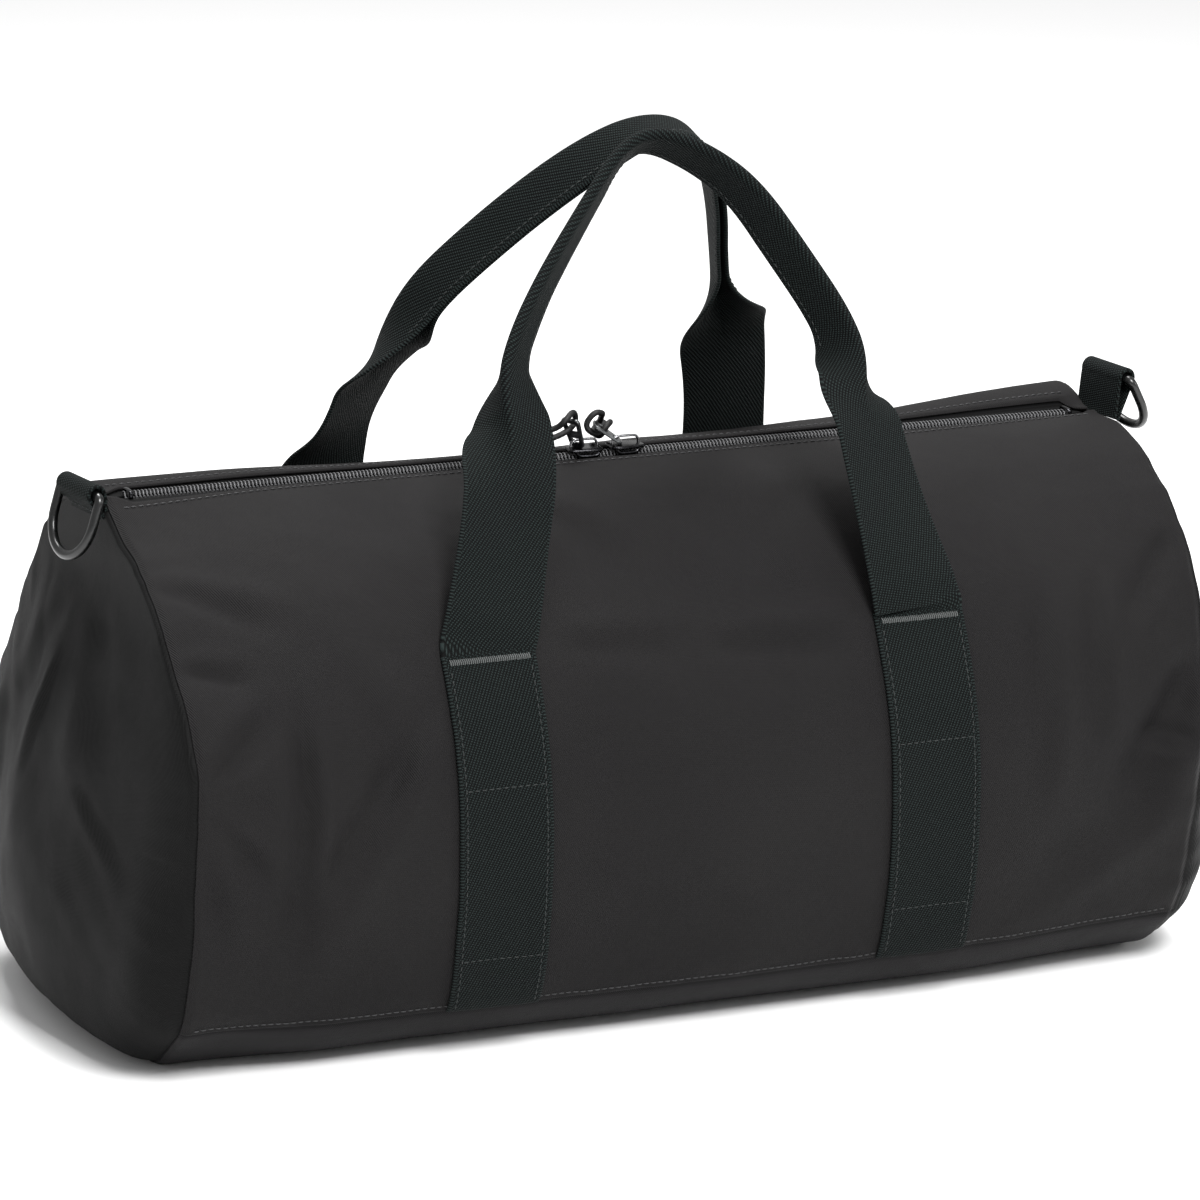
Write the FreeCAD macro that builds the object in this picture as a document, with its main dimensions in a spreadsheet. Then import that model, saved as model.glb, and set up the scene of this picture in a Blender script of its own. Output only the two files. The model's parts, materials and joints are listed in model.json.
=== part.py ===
"""Barrel duffel bag, built as the sewn and metal pieces that a bag maker would lay out.

Millimetres. +X runs along the bag, -Y is its front, +Z is up, and the origin is the middle of the
flat base on the floor. The bag is shown zipped shut with its two handles leaning on each other.
"""
import FreeCAD, Part
import math
import os

from FreeCAD import Placement, Rotation, Vector

doc = FreeCAD.newDocument("duffel_bag")
sheet = doc.addObject("Spreadsheet::Sheet", "sizes")

DRIVING = [
    # the barrel and its cloth
    ("barrel_length", 500),
    ("barrel_height", 248),
    ("top_radius", 130),
    ("side_radius", 260),
    ("corner_radius", 52),
    ("cloth", 2.0),
    ("lining_cloth", 0.5),
    ("skin_gap", 0.1),
    ("base_seam_height", 24),
    ("board_length", 486),
    ("board_width", 124),
    ("board_thick", 2.5),
    # the zip
    ("mouth_half_width", 9.5),
    ("tape_inner_edge", 1.7),
    ("tape_outer_edge", 20),
    ("tape_thick", 0.8),
    ("tape_length", 492),
    ("coil_gap", 1.2),
    ("coil_width", 2.8),
    ("coil_height", 2.4),
    ("coil_length", 480),
    ("zip_stop_place", 237),
    ("slider_length", 16.5),
    ("slider_width", 12.6),
    ("slider_plate", 1.6),
    ("slider_lip", 1.7),
    ("slider_lip_depth", 2.5),
    ("slider_web", 0.6),
    ("bridge_width", 2.2),
    ("left_slider_place", -14),
    ("right_slider_place", 7),
    ("pull_width", 9.5),
    ("pull_thick", 1.6),
    ("pull_bar", 1.6),
    ("pull_side", 1.6),
    ("cord_diameter", 2.8),
    ("crimp_radius", 3.6),
    ("crimp_length", 8),
    # webbing and handles
    ("strap_width", 45),
    ("strap_thick", 2.0),
    ("strap_place", 107),
    ("tack_height", 190),
    ("tack_length", 38),
    ("tack_width", 2.4),
    ("tack_thick", 0.4),
    ("pivot_stand_off", 3.9),
    ("front_handle_lean", 23.2),
    ("back_handle_lean", 22.4),
    ("fold_width", 22.5),
    ("fold_thick", 4.5),
    ("fold_start", 62),
    ("fold_end", 132),
    # ring tabs and D-rings
    ("tab_width", 30),
    ("tab_loop_radius", 5),
    ("tab_wall", 2.0),
    ("tab_stand_out", 3.6),
    ("left_tab_rise", 65),
    ("left_tab_height", 240.7),
    ("left_tab_back", 4),
    ("left_tab_reach", 11),
    ("right_tab_rise", 75),
    ("right_tab_height", 246.5),
    ("right_tab_back", -2),
    ("right_tab_reach", 19.5),
    ("ring_wire", 4.5),
    ("ring_inner_width", 31),
    ("ring_arm", 12.5),
    ("ring_corner", 3),
    ("ring_yaw", 10),
    ("left_ring_lean", 16.5),
    ("right_ring_lean", 29),
]
for row, (alias, value) in enumerate(DRIVING, start=1):
    sheet.set("A%d" % row, alias)
    sheet.set("B%d" % row, str(value))
    sheet.setAlias("B%d" % row, alias)
doc.recompute()


def size(alias):
    """A driving dimension, read back from the spreadsheet."""
    return float(sheet.get(alias))


LENGTH = size("barrel_length")
CLOTH = size("cloth")
GAP = size("skin_gap")
TOP_CENTRE = size("barrel_height") - size("top_radius")  # height of the top arc's centre
TAPE_TOP = size("top_radius") - CLOTH - GAP              # radius of the zip tape's upper face
COIL_BASE = TOP_CENTRE + TAPE_TOP                        # the coils stand on the tape
PLATE_BASE = COIL_BASE + size("coil_height") + 0.7       # the slider's top plate clears the coils
EYE_HEIGHT = PLATE_BASE + size("slider_plate") + 1.3     # a pull's eye bar lies on the slider
BRIDGE_RISE = 4.4
parts = []


# --------------------------------------------------------------------------- helpers
def keep(obj, label):
    """Name an object as one of the bag's pieces."""
    obj.Label = label
    parts.append(obj)
    return obj


def solid(label, shape, placement=None):
    """A piece whose shape is worked out here from the sheet's sizes."""
    obj = doc.addObject("Part::Feature", label)
    obj.Shape = shape
    if placement is not None:
        obj.Placement = placement
    return keep(obj, label)


def box(low, high):
    """A plain box between two corners."""
    spans = [b - a for a, b in zip(low, high)]
    return Part.makeBox(*spans, Vector(*low))


def bound_box(name, spans, corner):
    """A Part::Box whose three sides and corner are expressions on the sheet."""
    obj = doc.addObject("Part::Box", name)
    for side, text in zip(("Length", "Width", "Height"), spans):
        obj.setExpression(side, text)
    for axis, text in zip("xyz", corner):
        obj.setExpression(".Placement.Base." + axis, text)
    return obj


def section(offset):
    """The barrel's closed YZ outline, moved out by offset: round top, leaning sides, flat base."""
    top, side, corner = (size(n) for n in ("top_radius", "side_radius", "corner_radius"))
    side_y = side - top
    drop = TOP_CENTRE - corner
    corner_y = side_y - math.sqrt((side - corner) ** 2 - drop ** 2)
    lean = math.asin(drop / (side - corner))

    def on(cy, cz, radius, angle, sign):
        return Vector(0, sign * (cy - radius * math.cos(angle)), cz - radius * math.sin(angle))

    edges = []
    for sign in (1, -1):
        shoulder = on(side_y, TOP_CENTRE, side + offset, 0, sign)
        waist = on(side_y, TOP_CENTRE, side + offset, lean / 2, sign)
        hip = on(side_y, TOP_CENTRE, side + offset, lean, sign)
        turn = on(corner_y, corner, corner + offset, (lean + math.pi / 2) / 2, sign)
        foot = on(corner_y, corner, corner + offset, math.pi / 2, sign)
        edges += [Part.Arc(shoulder, waist, hip).toShape(), Part.Arc(hip, turn, foot).toShape()]
    crown = Vector(0, 0, TOP_CENTRE + top + offset)
    left, right = Vector(0, -top - offset, TOP_CENTRE), Vector(0, top + offset, TOP_CENTRE)
    edges.append(Part.Arc(left, crown, right).toShape())
    edges.append(Part.makeLine(Vector(0, corner_y, -offset), Vector(0, -corner_y, -offset)))
    return Part.Wire(Part.__sortEdges__(edges))


def block_of(offset, x0, x1):
    """The filled barrel from x0 to x1, its outline moved out by offset."""
    body = Part.Face(section(offset)).extrude(Vector(x1 - x0, 0, 0))
    body.translate(Vector(x0, 0, 0))
    return body


def skin(outer, inner, x0, x1, y=(-400, 400), z=(-50, 400)):
    """A layer between two offsets of the outline, trimmed to a y and z range."""
    layer = block_of(outer, x0, x1).cut(block_of(inner, x0 - 1, x1 + 1))
    return layer.common(box((x0, y[0], z[0]), (x1, y[1], z[1])))


def rounded_wire(points):
    """Straight runs joined by tangent arcs, each arc as large as its two runs allow."""
    edges, start, radii = [], points[0], []
    for before, corner, after in zip(points, points[1:], points[2:]):
        into, out = corner - before, after - corner
        half_turn = into.getAngle(out) / 2
        cut = 0.45 * min(into.Length, out.Length)
        into.normalize()
        out.normalize()
        p, q = corner - into * cut, corner + out * cut
        radius = cut / math.tan(half_turn)
        inward = (out - into).normalize()
        middle = corner + inward * (radius / math.cos(half_turn) - radius)
        edges += [Part.makeLine(start, p), Part.Arc(p, middle, q).toShape()]
        radii.append(radius)
        start = q
    edges.append(Part.makeLine(start, points[-1]))
    return Part.Wire(edges), radii


# --------------------------------------------------------------------------- barrel
def make_barrel():
    """Front, back and base panels round the barrel, and an end panel on each end of it."""
    half = LENGTH / 2
    seam, mouth = size("base_seam_height"), size("mouth_half_width")
    solid("front_panel", skin(0, -CLOTH, -half, half, y=(-400, -mouth), z=(seam, 400)))
    solid("back_panel", skin(0, -CLOTH, -half, half, y=(mouth, 400), z=(seam, 400)))
    solid("base_panel", skin(0, -CLOTH, -half, half, z=(-50, seam)))
    solid("left_end_panel", block_of(0, -half - CLOTH, -half))
    solid("right_end_panel", block_of(0, half, half + CLOTH))


def make_lining():
    """Thin lining inside the panels, open along the zip, and the stiff board on the floor."""
    thick = size("lining_cloth")
    outer = -CLOTH - GAP
    inside = LENGTH / 2 - GAP
    edge = size("tape_outer_edge") + 1
    tube = skin(outer, outer - thick, -inside + thick + GAP, inside - thick - GAP)
    slot = box((-LENGTH, -edge, TOP_CENTRE), (LENGTH, edge, 400))
    solid("body_lining", tube.cut(slot))
    solid("left_end_lining", block_of(outer, -inside, -inside + thick))
    solid("right_end_lining", block_of(outer, inside - thick, inside))
    board = bound_box(
        "board_block",
        ("sizes.board_length", "sizes.board_width", "sizes.board_thick"),
        ("-sizes.board_length / 2", "-sizes.board_width / 2",
         "sizes.cloth + sizes.lining_cloth + 3 * sizes.skin_gap"),
    )
    keep(board, "base_board")


# --------------------------------------------------------------------------- zip
def make_zip():
    """Two tapes under the panel edges, a coil on each, and a stop across each end."""
    half_tape = size("tape_length") / 2
    inner, outer = size("tape_inner_edge"), size("tape_outer_edge")
    top = -CLOTH - GAP
    for label, y in (("front", (-outer, -inner)), ("back", (inner, outer))):
        tape = skin(top, top - size("tape_thick"), -half_tape, half_tape, y=y, z=(200, 400))
        solid("zip_tape_" + label, tape)
    base = "sizes.barrel_height - sizes.cloth - sizes.skin_gap"
    for label, corner_y in (
        ("front", "-sizes.coil_gap / 2 - sizes.coil_width"), ("back", "sizes.coil_gap / 2"),
    ):
        coil = bound_box(
            "coil_" + label,
            ("sizes.coil_length", "sizes.coil_width", "sizes.coil_height"),
            ("-sizes.coil_length / 2", corner_y, base),
        )
        keep(coil, "zip_coil_" + label)
    reach = size("coil_gap") / 2 + size("coil_width") + 0.1
    crown = COIL_BASE + size("coil_height") + 0.1
    for label, place in (("left", -size("zip_stop_place")), ("right", size("zip_stop_place"))):
        staple = box((place - 1.2, -reach - 0.8, COIL_BASE), (place + 1.2, reach + 0.8, crown + 0.5))
        hollow = box((place - 2, -reach, COIL_BASE - 1), (place + 2, reach, crown))
        solid("zip_stop_" + label, staple.cut(hollow))


def slider_shape(place, nose):
    """A slider: a top plate with lips over the tapes, a web between the coils, a bottom plate."""
    long, wide = size("slider_length") / 2, size("slider_width") / 2
    plate, lip = size("slider_plate"), size("slider_lip")
    web = size("slider_web") / 2
    top = box((-long, -wide, PLATE_BASE), (long, wide, PLATE_BASE + plate))
    upright = [e for e in top.Edges if abs(e.tangentAt(0).z) > 0.9]
    top = top.makeFillet(3.0, upright)
    sole_top = COIL_BASE - size("tape_thick") - 0.7
    sole = box((-long, -wide, sole_top - plate), (long, wide, sole_top))
    sole = sole.makeFillet(3.0, [e for e in sole.Edges if abs(e.tangentAt(0).z) > 0.9])
    pieces = [sole]
    for side in (-1, 1):
        y = sorted((side * wide, side * (wide - lip)))
        low = PLATE_BASE - size("slider_lip_depth")
        pieces.append(box((-long + 3, y[0], low), (long - 3, y[1], PLATE_BASE)))
    x = sorted((nose * (long - 1), nose * (long - 5)))
    pieces.append(box((x[0], -web, sole_top), (x[1], web, PLATE_BASE)))
    body = top.multiFuse(pieces).removeSplitter()
    body.translate(Vector(place, 0, 0))
    return body


def bridge_shape(place):
    """The arched bar on top of a slider that its pull hangs from."""
    base = PLATE_BASE + size("slider_plate")
    half = size("bridge_width") / 2
    rise = BRIDGE_RISE

    def arch(foot, shoulder, height):
        corners = [(-foot, 0), (-foot, 0.3 * height), (-shoulder, height), (shoulder, height),
                   (foot, 0.3 * height), (foot, 0), (-foot, 0)]
        return Part.makePolygon([Vector(place + x, -half, base + z) for x, z in corners])

    outer, inner = Part.Face(arch(7.2, 5.5, rise)), Part.Face(arch(6.0, 4.8, rise - 1.7))
    return outer.cut(inner).extrude(Vector(0, 2 * half, 0))


class PullFrame:
    """Where a pull sits: its eye on the bridge, its width, face and length directions."""

    def __init__(self, eye_x, width_turn, lean):
        turn, tip = math.radians(width_turn), math.radians(lean)
        self.eye = Vector(eye_x, 0, EYE_HEIGHT)
        self.wide = Vector(math.cos(turn), math.sin(turn), 0)
        flat = Vector(-abs(math.sin(turn)), math.cos(turn) * math.copysign(1, math.sin(turn)), 0)
        self.along = flat * math.sin(tip) + Vector(0, 0, math.cos(tip))
        self.face = self.wide.cross(self.along)
        self.bar = self.eye + self.along * PULL_REACH

    def at(self, w, n, t):
        """A point given by its width, face and length distances from the cord bar."""
        return self.bar + self.wide * w + self.face * n + self.along * t

    def placement(self):
        turn = Rotation(self.wide, self.along, self.face * -1, "XYZ")
        return Placement(self.eye, turn)


PULL_REACH = 13.6  # from the eye bar to the cord bar
LEFT_PULL = PullFrame(size("left_slider_place") - 3.1, -60, 25)
RIGHT_PULL = PullFrame(size("right_slider_place") - 3.0, 69.5, 55)


def pull_shape(frame):
    """A flat pull with an eye round the bridge and a window for the cord."""
    half, bar, thick = size("pull_width") / 2, size("pull_bar"), size("pull_thick")
    plate = box((-half, -bar / 2, -thick / 2), (half, PULL_REACH + bar / 2, thick / 2))
    plate = plate.makeFillet(1.5, [e for e in plate.Edges if abs(e.tangentAt(0).z) > 0.9])
    side = half - size("pull_side")
    eye = box((-side, bar / 2, -thick), (side, 4.6, thick))
    window = box((-side, PULL_REACH - 6.4, -thick), (side, PULL_REACH - bar / 2, thick))
    plate = plate.cut(eye).cut(window)
    return plate


# Each cord's route, as width, face and length distances from its pull's cord bar: out of the
# crimp, up over the bar, back through the window and down into the crimp again.
LEFT_ROUTE = [
    (-13.2, 18.2, -0.2), (-8.6, 12.6, 1.2), (-2.8, 7.0, 0.2), (1.4, 4.4, 3.9), (0.6, -4.0, 3.9),
    (-0.6, -4.0, -4.0), (-1.6, 3.6, -4.4), (-6.0, 10.0, -4.4), (-11.4, 17.0, -3.8),
]
RIGHT_ROUTE = [
    (15.4, -1.4, -3.9), (10.5, 3.2, -1.8), (4.4, 5.8, -0.4), (1.0, 4.4, 3.9), (0.2, -4.0, 3.9),
    (-0.6, -4.0, -4.0), (0.4, 3.4, -4.6), (6.2, 4.4, -6.0), (11.4, 1.2, -7.0), (15.0, -3.4, -7.2),
]


def cord_shape(route, frame):
    """A round cord along its route; its radii and volume are printed as a check."""
    radius = size("cord_diameter") / 2
    path, radii = rounded_wire([frame.at(*p) for p in route])
    start = path.Edges[0]
    ring = Part.Wire(Part.makeCircle(radius, start.valueAt(start.FirstParameter),
                                     start.tangentAt(start.FirstParameter)))
    tube = path.makePipeShell([ring], True, False)
    ideal = math.pi * radius ** 2 * path.Length
    print("cord: length %.1f, radii %s, volume %.1f of %.1f" % (
        path.Length, ["%.1f" % r for r in radii], tube.Volume, ideal))
    return tube


def crimp_shape(route, frame):
    """The moulded end that joins a cord's two strands."""
    ends = [frame.at(*route[0]), frame.at(*route[-1])]
    nexts = [frame.at(*route[1]), frame.at(*route[-2])]
    outward = (ends[0] - nexts[0]).normalize() + (ends[1] - nexts[1]).normalize()
    outward.normalize()
    middle = (ends[0] + ends[1]) * 0.5 - outward * size("crimp_length") * 0.35
    body = Part.makeCylinder(size("crimp_radius"), size("crimp_length"), middle, outward)
    return body.makeFillet(1.2, [e for e in body.Edges if len(e.Vertexes) == 1])


def make_sliders():
    """Both sliders with their bridges, pulls, cords and cord ends."""
    pairs = (
        ("left", size("left_slider_place"), 1, LEFT_PULL, LEFT_ROUTE),
        ("right", size("right_slider_place"), -1, RIGHT_PULL, RIGHT_ROUTE),
    )
    for label, place, nose, frame, route in pairs:
        solid("slider_" + label, slider_shape(place, nose))
        solid("slider_bridge_" + label, bridge_shape(place))
        solid("pull_" + label, pull_shape(frame), frame.placement())
        solid("pull_cord_" + label, cord_shape(route, frame))
        solid("cord_end_" + label, crimp_shape(route, frame))


# --------------------------------------------------------------------------- webbing
def make_sewn_straps():
    """Four webbing runs sewn up the panels, and the bar-tacks across their tops."""
    half, place = size("strap_width") / 2, size("strap_place")
    low, high = size("base_seam_height"), size("tack_height")
    outer = GAP + size("strap_thick")
    tacks = {"front": [], "back": []}
    for side, y in (("front", (-400, 0)), ("back", (0, 400))):
        for end, x in (("left", -place), ("right", place)):
            strap = skin(outer, GAP, x - half, x + half, y=y, z=(low, high))
            solid("sewn_strap_%s_%s" % (side, end), strap)
            tack = size("tack_length") / 2
            band = skin(outer + size("tack_thick"), outer, x - tack, x + tack, y=y,
                        z=(high - 5.0, high - 5.0 + size("tack_width")))
            tacks[side].append(band)
    for side, bands in tacks.items():
        solid("bar_tacks_" + side, Part.makeCompound(bands))


# The crease line of each handle in its own leaning plane: along the bag, up from the hinge.
FRONT_ARCH = [(-107, 0), (-80, 84), (-82, 120), (-73, 142), (-54, 169), (-28, 200), (-7, 224), (13, 231),
              (40, 218), (60, 200), (78, 168), (93, 140), (98, 118), (91, 92), (107, 0)]
BACK_ARCH = [(-107, 0), (-113, 26), (-102, 58), (-91, 88), (-88, 116), (-80, 142), (-61, 166), (-34, 194),
             (-8, 215), (16, 226), (39, 224), (54, 206), (66, 180), (76, 149), (82, 120), (92, 86), (99, 50),
             (107, 0)]
STATIONS = 41


def smooth(value):
    """0 to 1 with level ends."""
    value = min(1.0, max(0.0, value))
    return value * value * (3 - 2 * value)


def handle_shape(arch, side, lean):
    """Webbing that leaves the bar-tacks flat, folds in half and runs over as one narrow band."""
    lean = math.radians(lean)
    reach = size("top_radius") + size("pivot_stand_off")
    rise = size("tack_height") - TOP_CENTRE
    angle = math.asin(rise / size("top_radius"))
    pivot = Vector(0, side * reach * math.cos(angle), TOP_CENTRE + reach * math.sin(angle))
    up = Vector(0, -side * math.sin(lean), math.cos(lean))
    outward = Vector(0, side * math.cos(lean), math.sin(lean))
    level = Vector(0, side, 0)
    path, _ = rounded_wire([pivot + Vector(x, 0, 0) + up * s for x, s in arch])
    points = path.discretize(Number=STATIONS)
    wide, thick = size("strap_width"), size("strap_thick")
    rings = []
    for index, point in enumerate(points):
        before, after = points[max(index - 1, 0)], points[min(index + 1, STATIONS - 1)]
        along = (after - before).normalize()
        if index in (0, STATIONS - 1):
            along = up * (1 if index == 0 else -1)
        height = (point - pivot).dot(up)
        span = size("fold_end") - size("fold_start")
        fold = smooth((height - size("fold_start")) / span)
        bend = fold * math.pi / 2
        across = wide * math.cos(bend) + size("fold_thick") * math.sin(bend)
        deep = thick + (size("fold_width") - thick) * math.sin(bend)
        face = (outward * (1 - fold) + level * fold).normalize()
        lateral = along.cross(face).normalize()
        face = lateral.cross(along).normalize()
        front = point + face * (thick / 2)
        corners = [front + lateral * (across / 2), front - lateral * (across / 2)]
        corners += [c - face * deep for c in reversed(corners)]
        rings.append(Part.makePolygon(corners + corners[:1]))
    print("handle pivot", pivot, "apex", max(p.z for p in points))
    return Part.makeLoft(rings, True, True)


def make_handles():
    solid("front_handle", handle_shape(FRONT_ARCH, -1, size("front_handle_lean")))
    solid("back_handle", handle_shape(BACK_ARCH, 1, size("back_handle_lean")))


# --------------------------------------------------------------------------- ring tabs
def teardrop(small, big, reach, start=0.0):
    """Two circles joined by their outer tangents, in the XZ plane, growing along +X."""
    lean = math.asin((big - small) / (reach - start))

    def on(cx, radius, angle):
        return Vector(cx + radius * math.cos(angle), 0, radius * math.sin(angle))

    top = math.pi / 2 + lean
    edges = [
        Part.makeLine(on(start, small, top), on(reach, big, top)),
        Part.Arc(on(reach, big, top), on(reach, big, 0), on(reach, big, -top)).toShape(),
        Part.makeLine(on(reach, big, -top), on(start, small, -top)),
        Part.Arc(on(start, small, -top), on(start, small, math.pi), on(start, small, top)).toShape(),
    ]
    return Part.Face(Part.Wire(edges))


def tab_placement(label, side):
    """Put a tab's root against its end panel, turned outward, raised and yawed."""
    root = Vector(side * (LENGTH / 2 + size("tab_stand_out")), size(label + "_tab_back"),
                  size(label + "_tab_height"))
    turn = Rotation(Vector(0, 0, 1), size("ring_yaw"))
    if side < 0:
        turn = turn.multiply(Rotation(Vector(0, 0, 1), 180))
    return Placement(root, turn.multiply(Rotation(Vector(0, 1, 0), -size(label + "_tab_rise"))))


def make_tab(label, side):
    """A short webbing loop sewn upright at the top of an end panel."""
    wide, wall, reach = size("tab_width"), size("tab_wall"), size(label + "_tab_reach")
    loop = teardrop(wall, size("tab_loop_radius"), reach)
    hole = teardrop(0.3, size("tab_loop_radius") - wall, reach, start=3.5)
    tab = loop.cut(hole).extrude(Vector(0, wide, 0))
    tab.translate(Vector(0, -wide / 2, 0))
    placed = tab.copy()
    placed.Placement = tab_placement(label, side).multiply(placed.Placement)
    half = LENGTH / 2 + CLOTH
    solid("ring_tab_" + label, placed.cut(block_of(GAP, -half - 0.1, half + 0.1)))


def ring_centre(label, side):
    """The middle of a D-ring's bar, resting at the bottom of its tab's loop."""
    slack = size("tab_loop_radius") - size("tab_wall") - size("ring_wire") / 2 - 0.3
    middle = tab_placement(label, side).multVec(Vector(size(label + "_tab_reach"), 0, 0))
    return middle - Vector(0, 0, slack)


def make_ring(label, side):
    """A cast D-ring hanging from its straight bar, leaning out from the end panel."""
    wire = size("ring_wire")
    half = (size("ring_inner_width") + wire) / 2
    arm, corner = size("ring_arm"), size("ring_corner")
    slant = corner * (1 - math.sqrt(0.5))

    def p(y, z):
        return Vector(0, y, z)

    edges = [
        Part.makeLine(p(-half + corner, 0), p(half - corner, 0)),
        Part.Arc(p(half - corner, 0), p(half - slant, -slant), p(half, -corner)).toShape(),
        Part.makeLine(p(half, -corner), p(half, -arm)),
        Part.Arc(p(half, -arm), p(0, -arm - half), p(-half, -arm)).toShape(),
        Part.makeLine(p(-half, -arm), p(-half, -corner)),
        Part.Arc(p(-half, -corner), p(-half + slant, -slant), p(-half + corner, 0)).toShape(),
    ]
    path = Part.Wire(edges)
    bead = Part.Wire(Part.makeCircle(wire / 2, p(0, 0), Vector(0, 1, 0)))
    start = Part.Wire([Part.makeLine(p(0, 0), p(half - corner, 0))] + edges[1:]
                      + [Part.makeLine(p(-half + corner, 0), p(0, 0))])
    ring = start.makePipeShell([bead], True, False)
    lean = Rotation(Vector(0, 1, 0), -side * size(label + "_ring_lean"))
    place = Placement(ring_centre(label, side), Rotation(Vector(0, 0, 1), size("ring_yaw")).multiply(lean))
    print(label, "bar", place.Base, "volume %.1f of %.1f" % (
        ring.Volume, math.pi * wire ** 2 / 4 * path.Length))
    solid("d_ring_" + label, ring, place)


def make_rings():
    for label, side in (("left", -1), ("right", 1)):
        make_tab(label, side)
        make_ring(label, side)


# --------------------------------------------------------------------------- build and write
make_barrel()
make_lining()
make_zip()
make_sliders()
make_sewn_straps()
make_handles()
make_rings()
doc.recompute()

for obj in doc.Objects:
    if {"Invalid", "Error"} & set(obj.State):
        raise RuntimeError("%s did not build: %s" % (obj.Name, obj.State))
os.makedirs("parts", exist_ok=True)
for obj in parts:
    if obj.Shape.isNull() or not obj.Shape.isValid():
        raise RuntimeError("%s has no valid shape" % obj.Label)
    obj.Shape.exportStep(os.path.join("parts", obj.Label + ".step"))
    print("%-26s %9.1f mm3, %d solid(s)" % (obj.Label, obj.Shape.Volume, len(obj.Shape.Solids)))
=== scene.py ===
"""The duffel bag's cloth, webbing and metal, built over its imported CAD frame.

Lengths are millimetres until a mesh is made, in the CAD's own frame: +X along the bag to its right
end, -Y towards its front, +Z up, and the floor at z = 0.
"""
import json
from math import acos, asin, copysign, cos, hypot, pi, radians, sin

import bmesh
import bpy
import numpy as np
from mathutils import Matrix, Vector

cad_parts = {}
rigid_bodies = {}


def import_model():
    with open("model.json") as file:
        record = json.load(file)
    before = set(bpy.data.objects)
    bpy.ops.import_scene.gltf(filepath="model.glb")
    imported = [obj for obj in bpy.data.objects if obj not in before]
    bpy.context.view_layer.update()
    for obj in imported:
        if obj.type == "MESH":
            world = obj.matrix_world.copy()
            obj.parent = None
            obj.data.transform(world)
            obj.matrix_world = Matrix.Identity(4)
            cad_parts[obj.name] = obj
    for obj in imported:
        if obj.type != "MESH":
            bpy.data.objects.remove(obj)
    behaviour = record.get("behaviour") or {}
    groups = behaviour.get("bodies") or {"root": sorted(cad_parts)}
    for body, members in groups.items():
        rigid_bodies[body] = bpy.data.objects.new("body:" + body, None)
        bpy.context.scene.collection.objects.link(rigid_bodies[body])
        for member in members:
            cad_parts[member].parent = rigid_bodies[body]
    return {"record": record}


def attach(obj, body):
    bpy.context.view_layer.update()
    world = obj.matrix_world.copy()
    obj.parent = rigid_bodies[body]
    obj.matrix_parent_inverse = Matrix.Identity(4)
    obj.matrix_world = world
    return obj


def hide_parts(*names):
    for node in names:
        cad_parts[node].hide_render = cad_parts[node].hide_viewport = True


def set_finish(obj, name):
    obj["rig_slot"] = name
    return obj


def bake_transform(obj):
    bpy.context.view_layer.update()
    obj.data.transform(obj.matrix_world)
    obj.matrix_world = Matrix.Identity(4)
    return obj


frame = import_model()
SCENE = bpy.context.scene
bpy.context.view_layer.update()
MM = 0.001
HALF = 250.0          # half the barrel's length
rng = np.random.default_rng(7)


def add_object(name, data):
    """A new object in the scene."""
    obj = bpy.data.objects.new(name, data)
    SCENE.collection.objects.link(obj)
    return obj


# ---- camera
def make_camera():
    """A long lens looking down at the bag's front left corner."""
    az, el, roll = (radians(v) for v in (23.72, 15.68, 1.22))
    ahead = Vector((sin(az) * cos(el), cos(az) * cos(el), -sin(el)))
    level = Vector((cos(az), -sin(az), 0))
    above = level.cross(ahead)
    right = level * cos(roll) + above * sin(roll)
    top = above * cos(roll) - level * sin(roll)
    data = bpy.data.cameras.new("camera")
    data.sensor_width = 36
    data.lens = 195
    data.clip_end = 50
    cam = add_object("camera", data)
    target = Vector((-0.004, 0, 0.176))
    away = 3.034
    turn = Matrix((right, top, -ahead)).transposed().to_4x4()
    cam.matrix_world = Matrix.Translation(target - ahead * away) @ turn
    SCENE.camera = cam


make_camera()


# ---- pulls' frames and cords
EYE_HEIGHT = 251.9    # a pull's eye bar lies on its slider at this height
PULL_REACH = 13.6     # from the eye bar to the cord bar


class PullFrame:
    """A pull's eye on its slider, and its width, face and length directions."""

    def __init__(self, eye_x, width_turn, lean):
        turn, tip = radians(width_turn), radians(lean)
        self.eye = np.array([eye_x, 0, EYE_HEIGHT])
        self.wide = np.array([cos(turn), sin(turn), 0])
        flat = np.array([-abs(sin(turn)), cos(turn) * copysign(1, turn), 0])
        self.along = flat * sin(tip) + [0, 0, cos(tip)]
        self.face = np.cross(self.wide, self.along)
        self.bar = self.eye + self.along * PULL_REACH

    def at(self, w, n, t):
        """A point by its width, face and length distances from the cord bar."""
        return self.bar + self.wide * w + self.face * n + self.along * t

    def place(self, pts):
        """Points given as width, length from the eye, face."""
        p = np.asarray(pts, float)
        return (self.eye + p[..., :1] * self.wide + p[..., 1:2] * self.along
                + p[..., 2:3] * self.face)


LEFT_PULL = PullFrame(-17.1, -60, 25)
RIGHT_PULL = PullFrame(4.0, 69.5, 55)
# each cord's route in its pull's frame, as in the CAD
LEFT_ROUTE = [
    (-13.2, 18.2, -0.2), (-8.6, 12.6, 1.2), (-2.8, 7.0, 0.2), (1.4, 4.4, 3.9), (0.6, -4.0, 3.9),
    (-0.6, -4.0, -4.0), (-1.6, 3.6, -4.4), (-6.0, 10.0, -4.4), (-11.4, 17.0, -3.8),
]
RIGHT_ROUTE = [
    (15.4, -1.4, -3.9), (10.5, 3.2, -1.8), (4.4, 5.8, -0.4), (1.0, 4.4, 3.9), (0.2, -4.0, 3.9),
    (-0.6, -4.0, -4.0), (0.4, 3.4, -4.6), (6.2, 4.4, -6.0), (11.4, 1.2, -7.0), (15.0, -3.4, -7.2),
]


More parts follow.
